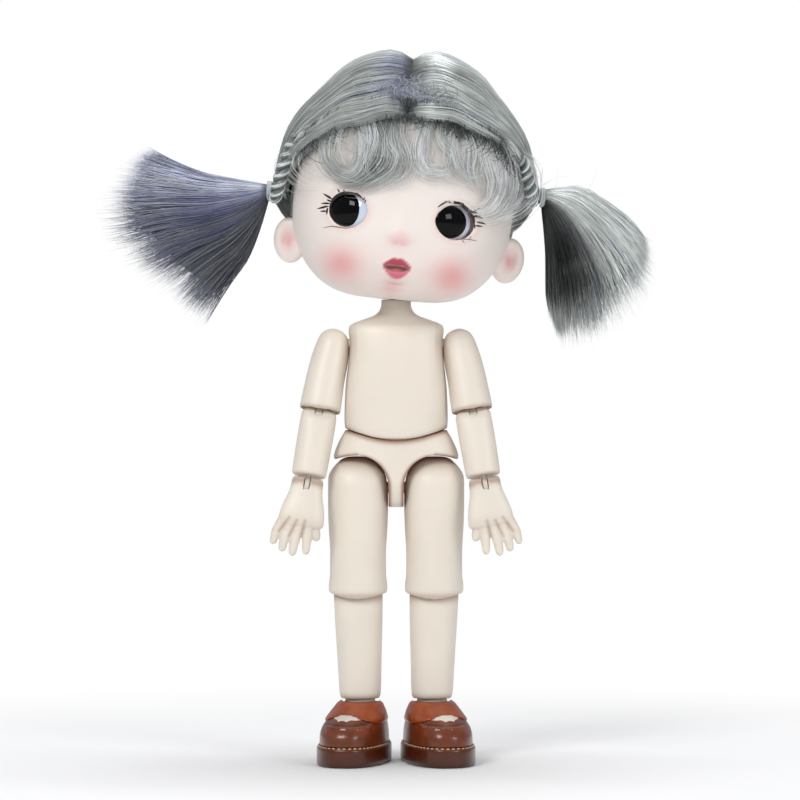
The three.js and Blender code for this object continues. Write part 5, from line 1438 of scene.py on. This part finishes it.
def make_braids():
    """A two part twist along each side of the hairline: two bundles of strands wound round
    each other along the route, like a rope."""
    rng = np.random.default_rng(21)
    for side, sign in SIDES:
        steps, count = 72, 300
        t = np.linspace(0, 1, steps)
        route = between(np.linspace(0, 1, len(BRAID)), braid_route(side, sign), t)
        along = unit(np.gradient(route, axis=0))
        aside = unit(np.cross(along, [0, 0, 1.0]))
        deep = np.cross(along, aside)
        bundle = rng.integers(0, 2, count)
        angle, radius = rng.uniform(0, 2 * np.pi, count), 0.85 * np.sqrt(rng.random(count))
        wind = 2 * np.pi * BRAID_TURNS * t[None] + np.pi * bundle[:, None]
        taper = (0.6 + 0.5 * np.sin(np.pi * np.clip(t * 0.85 + 0.1, 0, 1)))[None]
        own = angle[:, None] + 0.6 * wind
        u = (0.72 * np.cos(wind) + radius[:, None] * np.cos(own)) * taper
        v = (0.72 * np.sin(wind) + radius[:, None] * np.sin(own)) * taper
        paths = route[None] + u[..., None] * aside[None] + v[..., None] * deep[None]
        normal = unit(paths - route[None])
        # Painted shade: strands darken towards the rope's inside.
        outside = np.clip(np.hypot(u, v) / (1.5 * taper), 0, 1)[..., None] ** 2
        tones = strand_colours(rng, count, 0.02, -0.15)[:, None] * (0.22 + 0.95 * outside)
        head_strands(f"{side}_braid_strands", paths, normal, hair_widths(rng, count), tones,
                     [f"{side}_braid"])
        cores = []
        for k in (0, 1):
            w = 2 * np.pi * BRAID_TURNS * t + np.pi * k
            core = route + 0.68 * taper[0][:, None] * (np.cos(w)[:, None] * aside
                                                      + np.sin(w)[:, None] * deep)
            points, faces = tube_shape(core, 0.8 * taper[0], 12)
            cores.append((on_head(points), faces))
        core = object_of(f"{side}_braid_core", joined(*cores))
        # The cores are painted dark, as shade between the strands.
        paint(core, chosen("hair_dark") * 0.8)
        finish_hair(core)


def make_ties():
    """Silicone rings, two turns each, round the root of each tail."""
    for side, _ in SIDES:
        a = np.linspace(0, 2 * np.pi * 2, 96)
        x = np.linspace(-0.42, 0.42, 96)
        path = np.stack([x, 1.95 * np.cos(a), 1.95 * np.sin(a)], -1)
        radii = 0.42 * np.clip(np.minimum(np.arange(96), 95 - np.arange(96)) / 2, 0.3, 1)
        rings = rings_round(path, radii, np.broadcast_to([1.0, 0, 0], path.shape), 12)
        points, faces = closed(rings + TIES[side])
        piece = object_of(f"{side}_tie_ring", (on_head(points), faces))
        finish(piece, "head", "tie", [f"{side}_hair_tie"])


# Each tail in X and Z from its tie, as shares of its length: its upper edge, its lower edge and the
# brush's end from the one to the other
TAILS = {
    "right": (
        [(0, 0.04), (-0.19, 0.075), (-0.4, 0.115), (-0.577, 0.18), (-0.763, 0.276)],
        [(0, -0.05), (-0.06, -0.25), (-0.135, -0.436), (-0.244, -0.59), (-0.404, -0.846)],
        [(-0.763, 0.276), (-0.878, 0.167), (-0.962, 0.013), (-1.0, -0.12), (-0.99, -0.26),
         (-0.87, -0.42), (-0.756, -0.545), (-0.551, -0.705), (-0.404, -0.846)]),
    "left": (
        [(0, 0.05), (0.21, 0.08), (0.43, -0.03), (0.59, -0.16), (0.67, -0.27)],
        [(-0.01, -0.05), (0.01, -0.24), (0.02, -0.41), (0.02, -0.59), (0.04, -0.75)],
        [(0.67, -0.27), (0.68, -0.4), (0.655, -0.56), (0.52, -0.7), (0.36, -0.83), (0.25, -0.87),
         (0.15, -0.88), (0.1, -0.85), (0.04, -0.75)]),
}
TAIL_LENGTH, TAIL_DEEP = 36.0, 9.0
TAIL_THICK = [0.16, 0.36, 0.6, 0.8, 0.95, 0.95, 0.82, 0.6]  # along its length, of TAIL_DEEP


def tail_place(side, t, s, b):
    """A point of a tail, which is a fan: s leads from its upper strand (0) to its lowest (1), t
    from the tie to the ends, and b across it from front (-1) to back (1). A strand between
    the edge strands U and L is (1 - s) U(t) + s L(t), drawn out by t^2 to the brush's end."""
    upper, lower, ends = (np.array(edge, float) for edge in TAILS[side])
    share = np.linspace(0, 1, 5)
    up, low = between(share, upper, t), between(share, lower, t)
    goal = between(np.linspace(0, 1, 9), ends, s)
    s, over = s[..., None], t[..., None]
    flat = (1 - s) * up + s * low
    flat = flat + over**2 * (goal - (1 - s) * upper[-1] - s * lower[-1])
    flat = flat + np.clip(over - 1, 0, 1) * goal
    thick = TAIL_DEEP * between(np.linspace(0, 1, 8), TAIL_THICK, t)
    depth = b * thick * np.sqrt(1 - (0.93 * (2 * s[..., 0] - 1)) ** 2)
    return np.stack([flat[..., 0] * TAIL_LENGTH, depth, flat[..., 1] * TAIL_LENGTH], -1)


def tail_hollow(side, t, s):
    """Where the left tail, which opens like a bell, shows its shaded inside."""
    return near(s - 0.66, 0.3) * near(t - 0.5, 0.3) if side == "left" else 0 * (t + s)


def tail_light(side, t, s):
    """Light and shade painted on a tail: the right one falls off below its middle, the left
    one is dark in its bell; both have pale ends."""
    ends = above(t, 0.86, 0.03)
    if side == "left":
        return (1.22 - 0.12 * near(t, 0.2)) * (1 - 0.94 * above(s, 0.42, 0.035) * (1 - 0.7 * ends))
    falling = 1.12 - 0.62 * above(s, 0.33, 0.08) - 0.26 * above(s, 0.66, 0.06)
    return falling + (0.75 - falling) * 0.8 * ends * above(s, 0.3, 0.1)


def tail_to_world(side, points):
    return points + on_head(TIES[side][None])[0]


def make_tails():
    """Side tails: a dark core and fine straight strands in tufts that fan out from the tie and
    end in a brush."""
    rng = np.random.default_rng(33)
    for side, _ in SIDES:
        a = np.linspace(0, 2 * np.pi, 72, endpoint=False)[None]
        t = np.linspace(0.0, 0.86, 48)[:, None]
        s = 0.5 + 0.47 * np.cos(a) + 0 * t
        b = 0.78 * np.sin(a) * (1 - 0.4 * t**4)
        b = b + 1.1 * tail_hollow(side, t, s) * (b < 0)
        points, faces = closed(tail_place(side, t + 0 * s, s, b))
        piece = object_of(f"{side}_tail_core", (tail_to_world(side, points), faces))
        # The core's dark is painted shade inside the tail, darkest in the left tail's bell.
        paint(piece, chosen("hair_dark") * (0.25 if side == "left" else 0.5))
        finish_hair(piece, [f"{side}_ponytail"])

        count, steps, tufts = look().tail_strands, 12, 150
        tuft = rng.integers(0, tufts, count)
        angle = rng.uniform(0, 2 * np.pi, tufts)[tuft] + rng.normal(0, 0.16, count)
        out = np.sqrt(rng.uniform(0.5, 1.0, tufts))[tuft] + rng.normal(0, 0.04, count)
        end = rng.uniform(0.93, 1.03, tufts)[tuft] + rng.normal(0, 0.025, count)
        t = np.linspace(0, 1, steps)[None] * end[:, None]
        middle = 0.5 + 0.5 * np.clip(out, 0, 1) * np.cos(angle)
        jitter = 0.018 * wander(rng, count, steps, 3) * t
        squeeze = 1 - 0.55 * np.clip((t - 0.7) / 0.3, 0, 1) ** 2
        own = rng.normal(0, 0.012, (count, 1)) * t * squeeze
        s = np.clip(middle[:, None] + jitter + own, 0, 1)
        b = (np.clip(out, 0, 1) * np.sin(angle))[:, None] + 0 * t
        b = b + 1.1 * tail_hollow(side, t, s) * (b < 0)
        paths = tail_place(side, t, s, b)
        normal = unit(paths - tail_place(side, t, 0.5 + 0 * t, 0 * t) + [0, -0.01, 0])
        tones = strand_colours(rng, count, 0.3 if side == "right" else 0.03,
                               0.15 if side == "right" else 0)
        violet = chosen("hair_tint")
        if side == "right":
            cast = 0.85 * near(s - 0.42, 0.2) * near(t - 0.45, 0.3) * rng.random((count, 1)) + 0.24
            tones = tones[:, None] + (violet - tones[:, None]) * cast[..., None]
        else:
            tones = tones[:, None] + 0 * t[..., None]
        lit = tail_light(side, t, s) * rng.uniform(0.85, 1.15, (count, 1))
        piece = strands(f"{side}_tail_strands",
                        tail_to_world(side, paths.reshape(-1, 3)).reshape(paths.shape), normal,
                        hair_widths(rng, count, 0.8), tones * lit[..., None], tips=0.18)
        finish_hair(piece)


# Shoes

SOLE = (8.1, 17.4, 11.8, 2.4, 1.15)  # half width, front, back, squareness and shift
# From the sole up the outside to the collar and down inside it
UPPER = [
    (4.3, 7.35, 16.05, 11.1, 2.4, 1.15), (5.0, 7.5, 16.25, 11.25, 2.4, 1.15),
    (6.6, 7.45, 16.1, 11.2, 2.4, 1.15), (8.4, 7.15, 15.1, 10.95, 2.35, 1.05),
    (10.1, 6.45, 12.7, 10.6, 2.3, 0.7), (11.7, 5.75, 9.5, 10.25, 2.2, 0.35),
    (13.0, 5.0, 7.0, 9.95, 2.2, 0.12), (13.9, 4.5, 5.5, 9.6, 2.2, 0.0),
    (14.15, 4.3, 5.2, 9.4, 2.2, 0.0), (14.1, 4.05, 4.9, 9.1, 2.2, 0.0),
    (13.6, 3.9, 4.7, 8.9, 2.2, 0.0), (12.6, 4.1, 5.1, 9.0, 2.2, 0.1),
    (11.0, 4.6, 6.8, 9.2, 2.2, 0.3), (9.0, 5.2, 9.5, 9.5, 2.2, 0.6),
    (6.5, 5.4, 11.0, 9.6, 2.2, 0.9), (6.3, 2.0, 4.0, 4.0, 2.2, 0.9),
]
UPPER_OUTSIDE = np.array(UPPER[:9])  # up to the collar


def make_soles():
    """A thick moulded sole with soft edges, a rim above and a stitched line along it."""
    wide, front, back, square, shift = SOLE
    rows = [(0.0, -0.9), (0.12, -0.35), (0.5, -0.05), (1.2, 0.0), (3.2, 0.0), (3.9, -0.05),
            (4.25, -0.22), (4.4, -0.55), (4.42, -1.6)]
    for side, sign in SIDES:
        rings = ovals([(z, wide + d, front + d, back + d, square, shift) for z, d in rows], 160, 60)
        piece = object_of(f"{side}_sole", on_foot(closed(rings), sign))
        p = points_of(piece)
        base = chosen("sole")
        # Painted light: a paler band along the top of the rim and a darker one down at the floor.
        edge = 0.35 * near(p[:, 2] - 4.2, 0.3) - 0.35 * near(p[:, 2] - 0.4, 0.7)
        paint(piece, np.clip(base * (1 + edge[:, None]), 0, 1))
        finish_shoe(piece, side, "leather", [f"{side}_shoe_sole"])
        line = ovals([(4.42, wide - 0.42, front - 0.42, back - 0.42, square, shift)] * 2, 360, 2)[0]
        stitches(f"{side}_welt_stitches", side, sign, line, 1.25, 0.8, 0.13)


def stitches(name, side, sign, loop, pitch, length, radius, lift=0.03):
    """Short rounded thread runs at an even pitch along a closed line."""
    ring = np.concatenate([loop, loop[:1]])
    at = np.concatenate([[0], np.cumsum(np.linalg.norm(np.diff(ring, axis=0), axis=1))])
    count = int(at[-1] / pitch)
    shapes = []
    for start in np.arange(count) * at[-1] / count:
        share = start + np.linspace(0, length, 7)
        path = np.stack([np.interp(share, at, ring[:, k], period=at[-1]) for k in range(3)], -1)
        path[:, 2] += lift * np.sin(np.linspace(0, np.pi, 7))
        radii = radius * np.array([0.35, 0.85, 1, 1, 1, 0.85, 0.35])
        shapes.append(on_foot(tube_shape(path, radii, 6, (0, 0, 1.0)), sign))
    piece = object_of(name, joined(*shapes))
    finish_shoe(piece, side, "thread")


def seam_oval(x, y):
    """1 on the apron seam over the toe, less inside."""
    return np.sqrt(((x - 0.9) / 5.3) ** 2 + ((y + 9.2) / 5.4) ** 2)


def seam_relief(x, y, z):
    """The vamp's raised apron seam: a ridge along an oval on the toe, puckered at 1.1 mm."""
    oval = seam_oval(x, y)
    angle = np.arctan2(y + 9.2, x - 0.9)
    front = above(-y, 7.2, 0.5) * above(z, 6.6, 0.2) * above(-z, -9.7, 0.12)
    ridge = near(oval - 1.0, 0.05) * (0.26 + 0.07 * np.sin(26 * angle))
    return (ridge - 0.2 * near(oval - 0.89, 0.045)) * front


def make_uppers():
    """One piece leather upper with an apron seam, creases over the toe, a collar and a slit
    over the instep that shows the foot."""
    for side, sign in SIDES:
        rings = ovals(UPPER, 200, 170)
        x, y, z = np.moveaxis(rings, -1, 0)
        outer = (np.arange(170) < 100)[:, None]
        lift = seam_relief(x, y, z) * outer
        crease = 0.07 * np.sin(1.6 * x + 2.0 * np.sin(0.9 * y)) * near(y + 12.5, 2.0) * near(
            z - 8.4, 1.4) * outer
        middle = np.array([1.0, -3.0, 6.0])
        outward_way = unit(rings - middle)
        rings = rings + outward_way * (lift + crease)[..., None]
        heel = (rings[..., 1] > -1) * (rings[..., 2] > 12.6)
        drop = np.clip((rings[..., 1] + 1) / 3.0, 0, 1)
        rings[..., 2] = np.where(heel, rings[..., 2] + (12.6 - rings[..., 2]) * drop,
                                 rings[..., 2])
        upper = object_of(f"{side}_upper", on_foot(closed(rings), sign))
        points, faces = rod_shape(1.0, -14, -3.2, "y", around=40)
        slit = points * [2.8, 1, 0.62] + [-1.6, 0, 11.1]
        cut(upper, [on_foot((slit, faces), sign)])
        x, y, z = off_foot(points_of(upper), sign).T
        base, light = chosen("leather"), chosen("strap")
        # Painted highlight: the toe's top is blended towards the strap's lighter cognac; the heel
        # is lighter as well, and the leather is darker along the inside of the apron seam.
        mix = 0.35 * near(z - 8.6, 1.2) * near(y + 12.5, 2.2)
        mix = np.clip(mix + 0.25 * (y > 2) * near(z - 9, 3), 0, 1)[:, None]
        dark = (0.55 * near(seam_oval(x, y) - 0.88, 0.07))[:, None]
        paint(upper, np.clip((base * (1 - mix) + light * mix) * (1 - dark), 0, 1))
        finish_shoe(upper, side, "leather", [f"{side}_shoe_upper"])
        make_strap(side, sign)
        make_instep(side, sign)


def make_instep(side, sign):
    """The foot's instep behind the slit: the upper's own rings, 0.95 mm smaller."""
    z = np.linspace(9.4, 12.2, 30)
    size = between(UPPER_OUTSIDE[:, 0], UPPER_OUTSIDE[:, 1:], z)
    size[:, :3] -= 0.95 + 3.0 * (1 - np.sin(np.pi * np.linspace(0.03, 0.97, 30))[:, None]) ** 4
    rings = ovals(np.column_stack([z, size]), 120, 360)
    piece = object_of(f"{side}_instep", on_foot(closed(rings), sign))
    paint_with_shade(piece, np.zeros(len(piece.data.vertices)))
    finish_shoe(piece, side, "body")


def make_strap(side, sign):
    """The strap over the instep: the upper's rings, 0.6 mm proud, from one side of the collar
    round the front to the other. Its lower edge rises by 1.9 mm to the middle."""
    a = np.linspace(np.radians(176), np.radians(364), 110)
    share = np.linspace(0, 1, 18)[:, None]
    low = 11.25 - 1.9 * np.cos(a - 0.17) ** 2
    z = low + share * (14.1 - low)
    size = between(UPPER_OUTSIDE[:, 0], UPPER_OUTSIDE[:, 1:], z)
    wide, front, _, square, shift = np.moveaxis(size, -1, 0)

    def sheet(grow):
        x = shift + (wide + grow) * power(np.cos(a), 2 / square)
        y = (front + grow) * power(np.sin(a), 2 / square)
        return np.stack([x, y, z], -1)

    round_edge = 0.62 - 0.35 * near(share, 0.07) - 0.35 * near(share - 1, 0.07)
    rings = np.concatenate([sheet(round_edge), sheet(0.06)[::-1]])
    points, faces = closed(rings.transpose(1, 0, 2))
    piece = object_of(f"{side}_strap", on_foot((points, faces), sign))
    paint(piece, chosen("strap"))
    finish_shoe(piece, side, "leather", [f"{side}_shoe_strap"])


# Stage


def make_stage():
    """Pale floor that fades to white away from the doll, soft box lights and the camera."""
    made, tree, shader, output = material("paper_floor")
    wire(tree, shader, Base_Color=(0.86, 0.86, 0.86, 1), Roughness=0.9)
    places = add(tree, "ShaderNodeTexCoord").outputs["Object"]
    away = add(tree, "ShaderNodeVectorMath", {"operation": "LENGTH"}, i0=places)
    fade = add(tree, "ShaderNodeMapRange", {"interpolation_type": "SMOOTHSTEP"},
               Value=away.outputs["Value"], From_Min=0.05, From_Max=0.22)
    seen = add(tree, "ShaderNodeLightPath").outputs["Is Camera Ray"]
    share = add(tree, "ShaderNodeMath", {"operation": "MULTIPLY"}, i0=fade.outputs[0], i1=seen)
    glow = add(tree, "ShaderNodeEmission", Color=(1, 1, 1, 1), Strength=1.0)
    mixed = add(tree, "ShaderNodeMixShader", Fac=share.outputs[0], i1=shader.outputs[0],
                i2=glow.outputs[0])
    wire(tree, output, Surface=mixed.outputs[0])
    floor = bpy.data.meshes.new("floor")
    reach = 3.0
    floor.from_pydata([(-reach, -reach, 0), (reach, -reach, 0), (reach, reach, 0),
                       (-reach, reach, 0)], [], [(0, 1, 2, 3)])
    floor.materials.append(made)
    ground = bpy.data.objects.new("floor", floor)
    ground.location.z = -0.00002
    bpy.context.scene.collection.objects.link(ground)

    world = bpy.data.worlds.new("studio")
    bpy.context.scene.world = world
    world.use_nodes = True
    world.node_tree.nodes.clear()
    tree = world.node_tree
    path = add(tree, "ShaderNodeLightPath")
    seen = add(tree, "ShaderNodeMath", {"operation": "MAXIMUM"}, i0=path.outputs["Is Camera Ray"],
               i1=path.outputs["Is Transmission Ray"])
    dim = add(tree, "ShaderNodeBackground", Color=(0.93, 0.95, 1.0, 1), Strength=0.4)
    white = add(tree, "ShaderNodeBackground", Color=(1, 1, 1, 1), Strength=1.0)
    mixed = add(tree, "ShaderNodeMixShader", Fac=seen.outputs[0], i1=dim.outputs[0],
                i2=white.outputs[0])
    add(tree, "ShaderNodeOutputWorld", Surface=mixed.outputs[0])

    lamp("key_box", (-0.45, -0.8, 0.7), 0.35, 5.4)
    lamp("fill_box", (0.65, -0.7, 0.4), 0.3, 2.2)
    lamp("top_box", (0.05, 0.1, 0.85), 0.4, 3.4)

    camera = bpy.data.cameras.new("camera")
    camera.sensor_fit = "HORIZONTAL"
    camera.lens = camera.sensor_width / (2 * math.tan(CAMERA["field"] / 2))
    eye = bpy.data.objects.new("camera", camera)
    eye.location = CAMERA["place"]
    way = Vector(CAMERA["aim"]) - Vector(CAMERA["place"])
    eye.rotation_euler = way.to_track_quat("-Z", "Y").to_euler()
    camera.clip_start = 0.01
    bpy.context.scene.collection.objects.link(eye)
    bpy.context.scene.camera = eye
    bpy.context.scene.view_settings.view_transform = "Standard"


AIM_Z, VIEW_HALF = 83.6, 92.5  # height of the aim and half the width seen there, in mm
CAMERA = {
    "place": ((MIDLINE + CAMERA_X) * MM, -CAMERA_FAR * MM, CAMERA_Z * MM),
    "aim": ((MIDLINE + CAMERA_X) * MM, 0.0, AIM_Z * MM),
    "field": 2 * math.atan(VIEW_HALF / CAMERA_FAR),
}


def lamp(name, place, size, power_watts):
    light = bpy.data.lights.new(name, "AREA")
    light.shape, light.size, light.energy = "SQUARE", size, power_watts
    box = bpy.data.objects.new(name, light)
    box.location = place
    way = Vector((MIDLINE * MM, 0, 0.09)) - Vector(place)
    box.rotation_euler = way.to_track_quat("-Z", "Y").to_euler()
    bpy.context.scene.collection.objects.link(box)


def make_cap():
    """The net under the hair keeps its CAD solid."""
    dress("wig_cap", "net")


# Operators


def operator(key, label, words, *steps):
    """An operator that runs one group of making functions."""
    def execute(self, context):
        for step in steps:
            step()
        return {"FINISHED"}

    return type(f"DOLL_OT_{key}", (bpy.types.Operator,), {
        "__doc__": words, "bl_idname": f"doll.{key}", "bl_label": label, "execute": execute})


OPERATORS = [
    operator("trunk", "Torso and pelvis", "Builds the torso and the pelvis", make_trunk),
    operator("arms", "Arms", "Builds the upper arms and forearms", make_arms),
    operator("hands", "Hands", "Builds the hands", make_hands),
    operator("legs", "Legs", "Builds the thighs and shins", make_legs),
    operator("links", "Joint links", "Finishes the joints' hidden posts and pins", dress_links),
    operator("head", "Head", "Builds the head and the ears", make_head),
    operator("eyes", "Eyes", "Builds the eye sets and domes", make_eyes),
    operator("lashes", "Lashes", "Paints the lash lines", make_lashes),
    operator("cap", "Wig cap", "Finishes the wig cap", make_cap),
    operator("crown", "Crown", "Combs the crown's two lobes", make_crown),
    operator("fringe", "Fringe", "Curls the fringe", make_fringe),
    operator("braids", "Braids", "Twists the braids and sets the ties", make_braids, make_ties),
    operator("tails", "Tails", "Opens the two side tails", make_tails),
    operator("soles", "Soles", "Builds and stitches the soles", make_soles),
    operator("uppers", "Uppers", "Builds the uppers and straps", make_uppers),
    operator("stage", "Stage", "Sets the floor, lights and camera", make_stage),
]


class DOLL_PT_panel(bpy.types.Panel):
    """Lists the doll's operators in the sidebar"""
    bl_idname = "DOLL_PT_panel"
    bl_label = "Jointed doll"
    bl_space_type = "VIEW_3D"
    bl_region_type = "UI"
    bl_category = "Doll"

    def draw(self, context):
        for made in OPERATORS:
            self.layout.operator(made.bl_idname)


CLASSES = [DollLook, *OPERATORS, DOLL_PT_panel]


def register():
    for made in CLASSES:
        bpy.utils.register_class(made)
    bpy.types.Scene.doll_look = bpy.props.PointerProperty(type=DollLook)


def unregister():
    del bpy.types.Scene.doll_look
    for made in reversed(CLASSES):
        bpy.utils.unregister_class(made)


def main():
    register()
    for made in OPERATORS:
        getattr(bpy.ops.doll, made.bl_idname.split(".")[1])()


if __name__ == "__main__":
    main()
